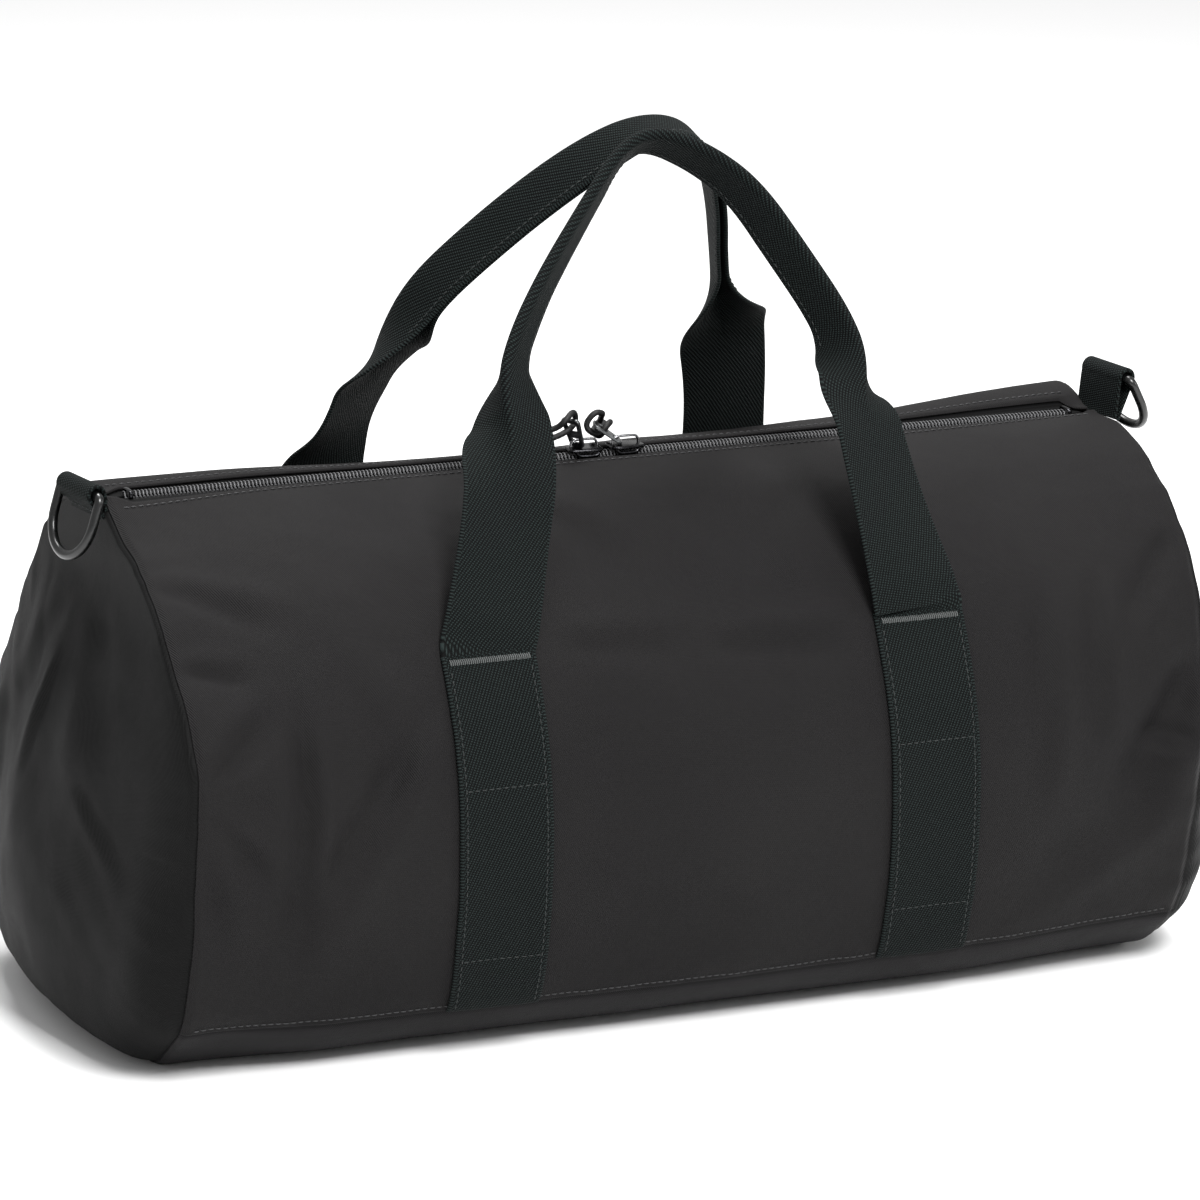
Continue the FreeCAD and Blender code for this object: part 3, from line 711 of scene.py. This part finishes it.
def make_slider(label, place, nose):
    """A slider's two plates, side lips and post, and the arch over it; nose is its wide end."""
    half = [(8.2, 1.5), (8.3, 4.1), (6.6, 6.1), (2.0, 6.2), (-3.0, 5.5), (-7.6, 4.9), (-8.4, 3.4),
            (-8.3, 1.2)]
    ring = half + [(x, -y) for x, y in reversed(half)]
    shape = round_outline([(nose * x, y) for x, y in ring]) + [place, 0]
    parts = [plate(shape, 249.0, 250.6, 0.5), plate(shape, 242.8, 244.4, 0.4)]
    for side in (-1, 1):
        lip = [(place + nose * x, side * y, z) for x, y, z in (
            (6.2, 4.9, 249.2), (5.6, 5.4, 248.2), (4.6, 5.5, 247.4), (0, 5.5, 247.3), (-3.6, 5.0, 247.4),
            (-4.8, 4.7, 248.2), (-5.2, 4.6, 249.2))]
        parts.append(tube(bspline(lip, 5), 0.62, (0, 0, 1), sides=8, flat=1.3))
    post = [(place + nose * 4.6, 0, 244.2), (place + nose * 4.8, 0, 246.7), (place + nose * 4.6, 0, 249.2)]
    parts.append(tube(bspline(post, 6), 0.3, (1, 0, 0), sides=10, flat=1.0))
    verts, faces = merge(parts)
    mesh_object("slider_body_" + label, verts, faces, slot="slider_metal", body=label + "_slider",
                replaces=("slider_" + label,), sharp=50)
    line = [(place + x, 0, z) for x, z in (
        (-6.6, 250.4), (-6.7, 252.2), (-5.6, 254.1), (-2.6, 254.35),
        (2.6, 254.35), (5.6, 254.1), (6.7, 252.2), (6.6, 250.4))]
    verts, faces = tube(bspline(line, 7), 0.62, (0, 1, 0), sides=14, flat=1.7)
    # the arch is the slider's black nickel painted far lighter, as painted highlight
    mesh_object("slider_arch_" + label, verts, faces, slot="bridge_painted_highlight", body=label + "_slider",
                replaces=("slider_bridge_" + label,), sharp=80)


make_slider("left", -14, 1)
make_slider("right", 7, -1)


def flat_metal(name, loops, thick, bevel, pull, **how):
    """A flat stamped piece with holes: closed outlines of (width, length), outer one first."""
    data = bpy.data.curves.new(name + "_cut", "CURVE")
    data.dimensions = "2D"
    data.fill_mode = "BOTH"
    data.extrude = thick / 2 - bevel
    data.bevel_depth = bevel
    data.bevel_resolution = 2
    for loop in loops:
        spline = data.splines.new("POLY")
        spline.points.add(len(loop) - 1)
        for point, (u, v) in zip(spline.points, loop):
            point.co = (u, v, 0, 1)
        spline.use_cyclic_u = True
    verts, faces = curve_mesh(data)
    mesh_object(name, pull.place(verts), faces, **how)


def rect(w0, w1, t0, t1, r=0.8):
    """A rounded rectangle as an outline, its width changing from w0 at t0 to w1 at t1."""
    corners = ((w0 - r, t0 + r, -90), (w1 - r, t1 - r, 0), (-w1 + r, t1 - r, 90), (-w0 + r, t0 + r, 180))
    return [p for cx, cy, start in corners for p in arc(cx, cy, r, start, start + 90, 7)]


for label, pull in (("left", LEFT_PULL), ("right", RIGHT_PULL)):
    rim = rect(3.6, 4.85, -0.9, 14.5, 1.6)
    eye, window = rect(2.1, 2.5, 0.9, 4.5, 0.9), rect(3.0, 3.25, 7.3, 12.7, 0.9)
    flat_metal("pull_plate_" + label, [rim, eye, window], 1.5, 0.32, pull, slot="pull_metal",
               body=label + "_pull", replaces=("pull_" + label,), sharp=50)


# ---- rings and their tabs
def turned(points, root, yaw, rise=0.0):
    """Local points raised about Y, turned about Z and moved to root; angles in degrees."""
    r, w = radians(rise), radians(yaw)
    p = np.asarray(points, float)
    x, y, z = p[..., 0], p[..., 1], p[..., 2]
    x, z = x * cos(r) - z * sin(r), x * sin(r) + z * cos(r)
    return np.stack([x * cos(w) - y * sin(w), x * sin(w) + y * cos(w), z], -1) + root


def rolled(across, thick, flat_to, roll, least):
    """Half the thickness of webbing across its width: even, then rounded off at both edges."""
    past = np.clip((np.abs(across) - flat_to) / roll, 0, 1)
    return thick * np.sqrt(np.clip(1 - past ** 2, least, 1))


def make_tab(label, root, yaw, rise, reach):
    """A ring's webbing loop, wider round the ring's bar, with a row of stitches at its root."""
    foot = [(-0.8, 1.1), (1.5, 1.15), (4.0, 1.5), (reach - 4.2, 3.3)]
    loop = np.array(foot + arc(reach, 0, 4, 118, -118, 19) + [(x, -z) for x, z in reversed(foot)])
    step = 0.9
    mid, _ = even(np.column_stack([loop[:, 0], 0 * loop[:, 0], loop[:, 1]]), step)
    t, _, _ = frames(mid, (0, 1, 0))
    across = np.r_[[-15, -14.85, -14.5, -14], np.linspace(-13, 13, 20), [14, 14.5, 14.85, 15]]
    half_thick = rolled(across, 0.95, 14, 1, 0.04)[None, :, None]
    normal = np.cross(t, (0, 1, 0))[:, None]
    base = mid[:, None] + across[None, :, None] * np.array([0, 1, 0])
    outer = turned(base + half_thick * normal, root, yaw, rise)
    inner = turned(base - half_thick * normal, root, yaw, rise)
    uv = np.stack(np.meshgrid(across, np.arange(len(mid)) * step, indexing="xy"), -1)
    slab("tab_loop_" + label, outer, inner, uv, slot="webbing", replaces=("ring_tab_" + label,))
    line = [(2.2, y, -2.15) for y in np.linspace(-13, 13, 30)]
    down = np.repeat(turned([(0, 0, -1)], 0, yaw, rise), 30, 0)
    sewing("tab_sewing_" + label, thread_row(turned(line, root, yaw, rise), down), "web_thread")


def make_ring(label, bar, lean):
    """A cast D-ring hanging from the middle of its bar, leaning out by lean degrees."""
    h, c, arm = 17.75, 3.0, 12.5        # half width, corner radius and arm of the wire's middle line
    pts = [(y, 0) for y in np.linspace(-h + c, h - c, 12)]
    pts += arc(h - c, -c, c, 80, 0, 8) + [(h, -c - 2), (h, -arm)]
    pts += arc(0, -arm, h, -4, -176, 44) + [(-h, -arm), (-h, -c - 2)]
    pts += arc(-h + c, -c, c, 180, 100, 8)
    ring, _ = even(np.array([(0, y, z) for y, z in pts + pts[:1]]), 1.0)
    v, f = tube(ring[:-1], 2.25, (1, 0, 0), sides=16, close=True)
    mesh_object("ring_cast_" + label, turned(v, bar, RING_YAW, lean), f, slot="ring_metal",
                body=label + "_ring_body", replaces=("d_ring_" + label,), sharp=80)


RING_YAW = 10
for label, end, root, rise, reach, lean in (
    ("left", -1, (-253.6, 4, 240.7), 65, 11.0, 16.5), ("right", 1, (253.6, -2, 246.5), 75, 19.5, 29.0),
):
    root = np.array(root)
    yaw = RING_YAW + (180 if end < 0 else 0)
    make_tab(label, root, yaw, rise, reach)
    make_ring(label, turned((reach, 0, 0), root, yaw, rise) - [0, 0, 0.45], end * lean)


# ---- webbing
EDGE = np.array([21.4, 22, 22.35, 22.5])        # the rolled edge of 45 mm webbing
ACROSS = np.r_[-EDGE[::-1], np.linspace(-20.5, 20.5, 32), EDGE]
S_TACK = height_to_s(186.2)
S_TOP = height_to_s(188.6)


def web_thick(across):
    """Half the thickness of 45 mm webbing, in millimetres."""
    return rolled(across, 0.98, 21.4, 1.1, 0.05)


THICK = web_thick(ACROSS)


def strap_x(place, s):
    """The middle of a sewn strap, which wanders a little to the right on its way down."""
    return place + (0.4 + 4.6 * smooth(np.abs(s), 125, 290) if place < 0 else 6 * smooth(np.abs(s), 135, 290))


for face, sign in (("front", -1), ("back", 1)):
    tacks, rows = [], []
    for end, place in (("left", -STRAP), ("right", STRAP)):
        run = np.r_[np.linspace(S_TOP, S_SEAM - 2, 80), [S_SEAM - 0.9, S_SEAM - 0.2]]
        mid_lift = np.r_[np.full(80, WEB_LIFT), [0.9, 0.4]]
        s, w = np.meshgrid(sign * run, ACROSS, indexing="ij")
        lift = mid_lift[:, None] + THICK * np.r_[np.ones(80), [0.8, 0.5]][:, None]
        low = mid_lift[:, None] - THICK
        where = strap_x(place, s) + w
        slab("webbing_%s_%s" % (face, end), surf(where, s, lift), surf(where, s, low),
             np.stack([w, s], -1), slot="webbing", replaces=("sewn_strap_%s_%s" % (face, end),))
        for k in range(40):
            xk = strap_x(place, S_TACK) - 18.9 + 37.8 * k / 39
            down = sign * np.linspace(S_TACK - 1.55, S_TACK + 0.75, 5) + rng.uniform(-0.12, 0.12)
            line = surf(xk + np.array([-0.15, -0.1, 0, 0.1, 0.15]), down, [2.0, 2.45, 2.6, 2.45, 2.0])
            tacks.append(tube(line, 0.32, (1, 0, 0), sides=6))
        for w0 in (-19.3, 19.3):
            run = np.linspace(S_TACK + 3.5, S_SEAM - 3, 90)
            rows += surf_row(strap_x(place, run) + w0, sign * run, 2.1, radius=0.3)
        for z in (133.0, 48.0):
            s0 = table(z, (24, S_SEAM), (52, 268), (118, S_SIDE), (135, 187))
            rows += surf_row(strap_x(place, s0) + np.linspace(-19, 19, 30), sign * s0, 2.1, radius=0.3)
    sewing("tack_threads_" + face, tacks, "tack_thread", replaces=("bar_tacks_" + face,))
    sewing("webbing_sewing_" + face, rows, "web_thread")
    sewing("mouth_sewing_" + face, surf_row(np.linspace(-244, 244, 400), sign * 13.2, 0.1))
    sewing("foot_sewing_" + face, surf_row(np.linspace(-245, 245, 400), sign * (S_SEAM - 3.0), 0.1))


# ---- handles
HINGE_R = 133.9       # a handle's hinge line, from the centre of the top arc
TACK_Z = 190.0        # and its height
# each handle's crease line in its own leaning plane: along the bag, up from the hinge
FRONT_ARCH = [(-106.6, 0), (-79, 84), (-82, 120), (-73, 142), (-54, 169), (-28, 200), (-7, 224), (13, 231),
              (40, 218), (60, 200), (78, 168), (93, 140), (99, 118), (92, 92), (107, 0)]
BACK_ARCH = [(-107, 0), (-109, 26), (-99, 58), (-91, 88), (-88.5, 116), (-80, 142), (-61, 166),
             (-34, 194), (-8, 215), (16, 226), (39, 224), (54, 206), (65, 180), (73.5, 149),
             (81, 120), (92, 86), (100, 50), (107, 0)]


def make_handle(name, node, body, arch, side, lean, folds, twists):
    """Webbing that leaves its tacks flat, folds in half along its middle and runs over as a band.

    folds gives the heights where each leg starts and ends folding, and twists the turn about the
    crease line, in degrees, by the share of its length.
    """
    lean = radians(lean)
    angle = asin((TACK_Z - CENTRE_Z) / TOP_R)
    pivot = np.array([0, side * HINGE_R * cos(angle), CENTRE_Z + HINGE_R * sin(angle)])
    up = np.array([0, -side * sin(lean), cos(lean)])
    outward = np.array([0, side * cos(lean), sin(lean)])
    line = bspline([pivot + [x, 0, 0] + up * h for x, h in arch], 24)
    line, at = even(line, 2.0)
    height = (line - pivot) @ up
    t = unit(np.gradient(line, axis=0))
    share = at / at[-1]
    fold = np.where(share < 0.5, smooth(height, *folds[0]), smooth(height, *folds[1]))
    face = outward * (1 - fold[:, None]) + np.array([0, side, 0]) * fold[:, None]
    lateral = unit(np.cross(t, face))
    face = np.cross(lateral, t)
    q = np.radians(table(share, *twists))[:, None]
    lateral, face = lateral * np.cos(q) + face * np.sin(q), face * np.cos(q) - lateral * np.sin(q)

    # below the hinge each leg comes up off the cloth from its tack
    feet = []
    s = side * np.linspace(S_TOP, height_to_s(TACK_Z), 4)[:-1]
    for place in (-STRAP, STRAP):
        x = strap_x(place, s)
        feet.append((surf(x, s, WEB_LIFT), surf_normal(x, s)))
    near = smooth(-height, -14, 0)[:, None]
    line = line - face * 1.6 * near
    line = np.r_[feet[0][0], line, feet[1][0][::-1]]
    face = np.r_[feet[0][1], face, feet[1][1][::-1]]
    t = unit(np.gradient(line, axis=0))
    lateral = unit(np.cross(t, face))
    fold = np.r_[[0] * 3, fold, [0] * 3]
    run = distance_along(line)

    # across each station the webbing bends about its middle, so it is followed in fine steps
    fine = np.linspace(-EDGE[-1], EDGE[-1], 451)
    middle = len(fine) // 2
    bend = fold[:, None] * pi / 2
    angle = -bend * np.tanh(fine / np.maximum(1.35 * bend, 0.3))
    step = fine[1] - fine[0]

    def summed(rate):
        """The running total of rate across the webbing, from its middle."""
        steps = np.cumsum((rate[:, 1:] + rate[:, :-1]) / 2, 1) * step
        total = np.concatenate([np.zeros((len(rate), 1)), steps], 1)
        return total - total[:, middle:middle + 1]

    a, d = summed(np.cos(angle)), summed(np.sin(angle))
    cols = np.r_[-EDGE[::-1], np.linspace(-20.5, -3.5, 14), np.linspace(-2.8, 2.8, 15),
                 np.linspace(3.5, 20.5, 14), EDGE]
    pick = np.round((cols + EDGE[-1]) / step).astype(int)
    thick = web_thick(cols)
    a, d, angle = a[:, pick], d[:, pick], angle[:, pick]
    mid = line[:, None] + a[..., None] * lateral[:, None] + d[..., None] * face[:, None]
    n = -np.sin(angle)[..., None] * lateral[:, None] + np.cos(angle)[..., None] * face[:, None]
    uv = np.stack(np.meshgrid(cols, run, indexing="xy"), -1)
    hinge = (tuple((pivot - up * 1.0) * MM), tuple((pivot + up * 20.0) * MM))
    how = dict(blend=("bag", body) + hinge)
    half_thick = n * thick[:, None]
    slab(name, mid + half_thick, mid - half_thick, uv, slot="webbing", replaces=(node,), **how)

    # the seam that holds the fold shut
    rows = []
    for col in (-18.9, 18.9):
        k = int(np.argmin(np.abs(cols - col)))
        p, m = mid[:, k] + n[:, k] * 0.98, n[:, k]
        keep = fold > 0.8
        rows += thread_row(p[keep], m[keep], radius=0.3)
    sewing(name + "_sewing", rows, "web_thread", **how)


make_handle("front_carry_handle", "front_handle", "front_handle_body", FRONT_ARCH, -1, 24.0,
            ((66, 146), (84, 142)),
            ((0, 0), (0.15, 0), (0.2, 22), (0.26, 46), (0.34, 44), (0.42, 38), (0.5, 32), (0.58, 34),
             (0.68, 36), (0.755, 34), (0.8, 26), (0.85, 24), (0.92, 18), (1, 0)))
make_handle("back_carry_handle", "back_handle", "back_handle_body", BACK_ARCH, 1, 23.4,
            ((80, 142), (90, 148)),
            ((0, 0), (0.055, -1), (0.11, -30), (0.17, -30), (0.24, -32), (0.3, -42), (0.38, -46),
             (0.46, -40), (0.53, -16), (0.6, -10), (0.74, -13), (0.82, 4), (0.9, 8), (1, 0)))


# ---- materials
def rgb(r, g, b):
    """A linear colour from 0-255 display values."""
    shares = [v / 255 for v in (r, g, b)]
    return tuple(((v + 0.055) / 1.055) ** 2.4 if v > 10 / 255 else v / 12.92 for v in shares) + (1,)


class Paint:
    """A procedural material being built up node by node."""

    def __init__(self, name, **sockets):
        self.mat = bpy.data.materials.new(name)
        self.mat.use_nodes = True
        self.nodes, self.links = self.mat.node_tree.nodes, self.mat.node_tree.links
        self.shader = self.nodes["Principled BSDF"]
        for socket, value in sockets.items():
            self.shader.inputs[socket.replace("_", " ")].default_value = value
        coord = self.nodes.new("ShaderNodeTexCoord")
        self.uv, self.place = coord.outputs["UV"], coord.outputs["Object"]

    def feed(self, socket, value):
        """Link another node's output to a socket, or set its value; a tuple is a display colour."""
        if isinstance(value, bpy.types.NodeSocket):
            self.links.new(value, socket)
        else:
            socket.default_value = rgb(*value) if isinstance(value, tuple) else value

    def node(self, kind, **inputs):
        """A new node; i0, i1 and so on stand for inputs by number."""
        made = self.nodes.new("ShaderNode" + kind)
        for key, value in inputs.items():
            self.feed(made.inputs[int(key[1:]) if key[1:].isdigit() else key], value)
        return made

    def math(self, op, a, b=0.0, c=0.0):
        made = self.node("Math", i0=a, i1=b, i2=c)
        made.operation = op
        return made.outputs[0]

    def times(self, a, b, plus=0.0):
        """a times b, and plus."""
        return self.math("MULTIPLY_ADD", a, b, plus)

    def noise(self, where, scale, detail=3.0):
        return self.node("TexNoise", Vector=where, Scale=scale, Detail=detail).outputs[0]

    def split(self, where):
        made = self.node("SeparateXYZ", i0=where)
        return made.outputs[0], made.outputs[1]

    def mix(self, share, a, b):
        made = self.nodes.new("ShaderNodeMix")
        made.data_type = "RGBA"
        for number, value in ((0, share), (6, a), (7, b)):
            self.feed(made.inputs[number], value)
        return made.outputs[2]

    def ranged(self, value, low, high, to_low, to_high):
        return self.node("MapRange", i0=value, i1=low, i2=high, i3=to_low, i4=to_high).outputs[0]

    def bump(self, height, distance, strength=1.0, under=None):
        made = self.node("Bump", Height=height, Distance=distance, Strength=strength)
        if under is not None:
            self.feed(made.inputs["Normal"], under)
        return made.outputs[0]

    def finish(self, colour, rough, normal):
        for socket, value in (("Base Color", colour), ("Roughness", rough), ("Normal", normal)):
            self.feed(self.shader.inputs[socket], value)
        return self.mat


def wave(paint, value, period, phase=0.0):
    """A sine of value, 0 to 1."""
    turn = paint.times(value, 2 * pi / period, phase)
    return paint.times(paint.math("SINE", turn), 0.5, 0.5)


def cloth(name, dark, light, shine=0.09, sheen=0.012, rough=0.55):
    """Fine nylon twill: close diagonal ribs over soft patches of wear."""
    p = Paint(name, Sheen_Weight=sheen, Sheen_Roughness=0.4, Specular_IOR_Level=shine)
    p.shader.inputs["Sheen Tint"].default_value = (0.9, 0.88, 0.9, 1)
    u, v = p.split(p.uv)
    wobble = p.noise(p.place, 90, 2)
    rib = wave(p, p.times(v, 0.55, p.times(wobble, 0.5, u)), 0.95)
    weft = wave(p, v, 0.7)
    grain = p.noise(p.place, 2600, 2)
    patch = p.noise(p.place, 9, 4)
    tone = p.math("ADD", p.times(patch, 0.55), p.times(grain, 0.45))
    shade = p.mix(p.ranged(tone, 0.3, 0.7, 0, 1), dark, light)
    shade = p.mix(p.ranged(rib, 0, 1, 0.0, 0.35), shade, dark)
    threads = p.math("ADD", rib, p.times(grain, 0.7, p.times(weft, 0.3)))
    fine = p.bump(threads, 0.00015, 1.0)
    soft = p.bump(p.noise(p.place, 60, 3), 0.0012, 0.6, under=fine)
    soft = p.bump(p.noise(p.place, 17, 2), 0.006, 0.35, under=soft)
    return p.finish(shade, p.ranged(grain, 0, 1, rough - 0.06, rough + 0.08), soft)


def webbing(name, dark, light):
    """Heavy twill webbing: steep diagonal ribs broken by the weft, with plain bound edges."""
    p = Paint(name, Sheen_Weight=0.01, Sheen_Roughness=0.5, Specular_IOR_Level=0.1)
    u, v = p.split(p.uv)
    across = p.math("ABSOLUTE", u)
    edge = p.ranged(across, 20.6, 21.3, 0, 1)
    wobble = p.times(p.noise(p.uv, 0.5, 2), 0.5)
    rib = wave(p, p.math("ADD", p.times(v, -0.5, u), wobble), 1.6)
    rib = p.math("POWER", rib, 0.8)
    weft = wave(p, p.times(u, 0.35, v), 1.15)
    fibre = p.noise(p.place, 2200, 3)
    weave = p.times(rib, p.ranged(weft, 0, 1, 0.25, 1))
    bound = p.times(wave(p, v, 1.5), 0.8)
    both = p.node("Mix", i0=edge, i2=weave, i3=bound).outputs[0]
    tone = p.times(fibre, 0.4, p.times(both, 0.75))
    shade = p.mix(p.ranged(tone, 0.38, 0.95, 0, 1), dark, light)
    fine = p.bump(p.times(fibre, 0.35, both), 0.0004, 1.0)
    return p.finish(shade, p.ranged(fibre, 0, 1, 0.62, 0.85), fine)


def thread(name, dark, light, sheen=0.15):
    """Twisted or braided fibre."""
    p = Paint(name, Sheen_Weight=sheen, Specular_IOR_Level=0.4)
    twist = p.noise(p.place, 3000, 2)
    return p.finish(p.mix(twist, dark, light), p.ranged(twist, 0, 1, 0.45, 0.7), p.bump(twist, 0.00008, 0.8))


def metal(name, dark, light, metallic, rough, coat=0.0):
    """Plated or painted metal with faint handling marks."""
    p = Paint(name, Metallic=metallic, Coat_Weight=coat, Coat_Roughness=0.12)
    cloud = p.noise(p.place, 240, 4)
    fine = p.noise(p.place, 1400, 3)
    shade = p.mix(p.ranged(cloud, 0.35, 0.7, 0, 1), dark, light)
    return p.finish(shade, p.ranged(fine, 0.3, 0.8, rough, rough + 0.14), p.bump(fine, 0.00003, 0.5))


def plain(name, dark, light, rough):
    """Moulded or sheet plastic."""
    p = Paint(name, Specular_IOR_Level=0.4)
    fine = p.noise(p.place, 900, 4)
    return p.finish(p.mix(fine, dark, light), p.ranged(fine, 0, 1, rough, rough + 0.15),
                    p.bump(fine, 0.0001, 0.5))


PAINTS = {
    "body_cloth": cloth("charcoal_twill", (20, 19, 20), (30, 29, 29)),
    "base_cloth": cloth("charcoal_base", (20, 19, 20), (27, 26, 27)),
    # the end panels are the body's charcoal twill painted darker: painted shade for ends that face away from
    # the key light
    "end_cloth": cloth("charcoal_end", (15, 15, 15), (23, 23, 23), 0.05, 0.004),
    "lining": cloth("black_lining", (40, 40, 40), (52, 52, 52)),
    "board": plain("board_sheet", (50, 50, 50), (66, 66, 66), 0.6),
    "zip_tape": webbing("zip_tape_weave", (3, 3, 3), (14, 14, 15)),
    # the coils are black nylon painted mid grey: painted highlight for the bright dots along their turns
    "zip_coil": plain("zip_nylon", (70, 70, 71), (122, 122, 124), 0.2),
    "slider_metal": metal("black_nickel", (34, 34, 36), (60, 60, 62), 1.0, 0.2),
    # the slider's arch is the same black nickel painted far lighter: painted highlight on its bright arcs
    "bridge_painted_highlight": metal("worn_nickel", (120, 120, 122), (170, 170, 172), 1.0, 0.2),
    "pull_metal": metal("gunmetal", (84, 86, 87), (126, 128, 129), 0.95, 0.25),
    "cord": thread("braided_cord", (3, 3, 3), (13, 13, 14), 0.0),
    "cord_end": plain("moulded_end", (12, 12, 13), (24, 24, 26), 0.4),
    "webbing": webbing("twill_webbing", (0, 1, 1), (38, 47, 46)),
    "thread": thread("seam_thread", (22, 22, 23), (44, 44, 46)),
    "web_thread": thread("webbing_thread", (10, 13, 13), (30, 36, 35), 0.05),
    "tack_thread": thread("tack_thread", (40, 43, 43), (92, 95, 94)),
    "ring_metal": metal("gloss_black", (6, 7, 7), (13, 14, 14), 0.0, 0.26, coat=0.15),
}
SLOTS = {part["node"]: part["material_slot"] for part in frame["record"]["subparts"]}
for obj in bpy.data.objects:
    if obj.type not in ("MESH", "CURVE"):
        continue
    name = obj.get("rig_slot") or SLOTS.get(obj.name)
    if name:
        obj.data.materials.clear()
        obj.data.materials.append(PAINTS[name])
# three looks are shades of a slot that the record names; the bridge's is the black nickel painted far
# lighter, as painted highlight
SHADES = {"bridge_painted_highlight": "slider_metal", "tack_thread": "thread", "web_thread": "thread"}
for obj in bpy.data.objects:
    kin = SHADES.get(obj.get("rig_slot"))
    if kin:
        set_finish(obj, kin)


# ---- floor and light
FLOOR = 6.0           # metres from the bag to the floor's edge
floor_mesh = bpy.data.meshes.new("floor")
floor_mesh.from_pydata([(-FLOOR, -FLOOR, 0), (FLOOR, -FLOOR, 0), (FLOOR, FLOOR, 0), (-FLOOR, FLOOR, 0)],
                       [], [(0, 1, 2, 3)])
floor = add_object("floor", floor_mesh)
white = Paint("pale_floor", Roughness=0.9, Specular_IOR_Level=0.1)
white.shader.inputs["Base Color"].default_value = (0.92, 0.92, 0.92, 1)
floor_mesh.materials.append(white.mat)

world = bpy.data.worlds.new("studio")
SCENE.world = world
world.use_nodes = True
background = world.node_tree.nodes["Background"].inputs
background["Color"].default_value = (1, 1, 1, 1)
background["Strength"].default_value = 0.55
SCENE.view_settings.view_transform = "Standard"


def area_light(name, place, aim, size, watts):
    """A square lamp at place, turned to face aim."""
    data = bpy.data.lights.new(name, "AREA")
    data.energy = watts
    data.size = size
    lamp = add_object(name, data)
    lamp.location = place
    lamp.rotation_euler = (Vector(aim) - Vector(place)).to_track_quat("-Z", "Y").to_euler()


area_light("key", (0.15, -1.9, 2.3), (0, 0, 0.1), 1.0, 100)
area_light("top", (0.1, 0.75, 2.4), (0, 0, 0.2), 1.0, 56)
area_light("side", (2.0, -1.1, 0.9), (0.1, 0, 0.15), 0.7, 9)

bpy.context.view_layer.update()
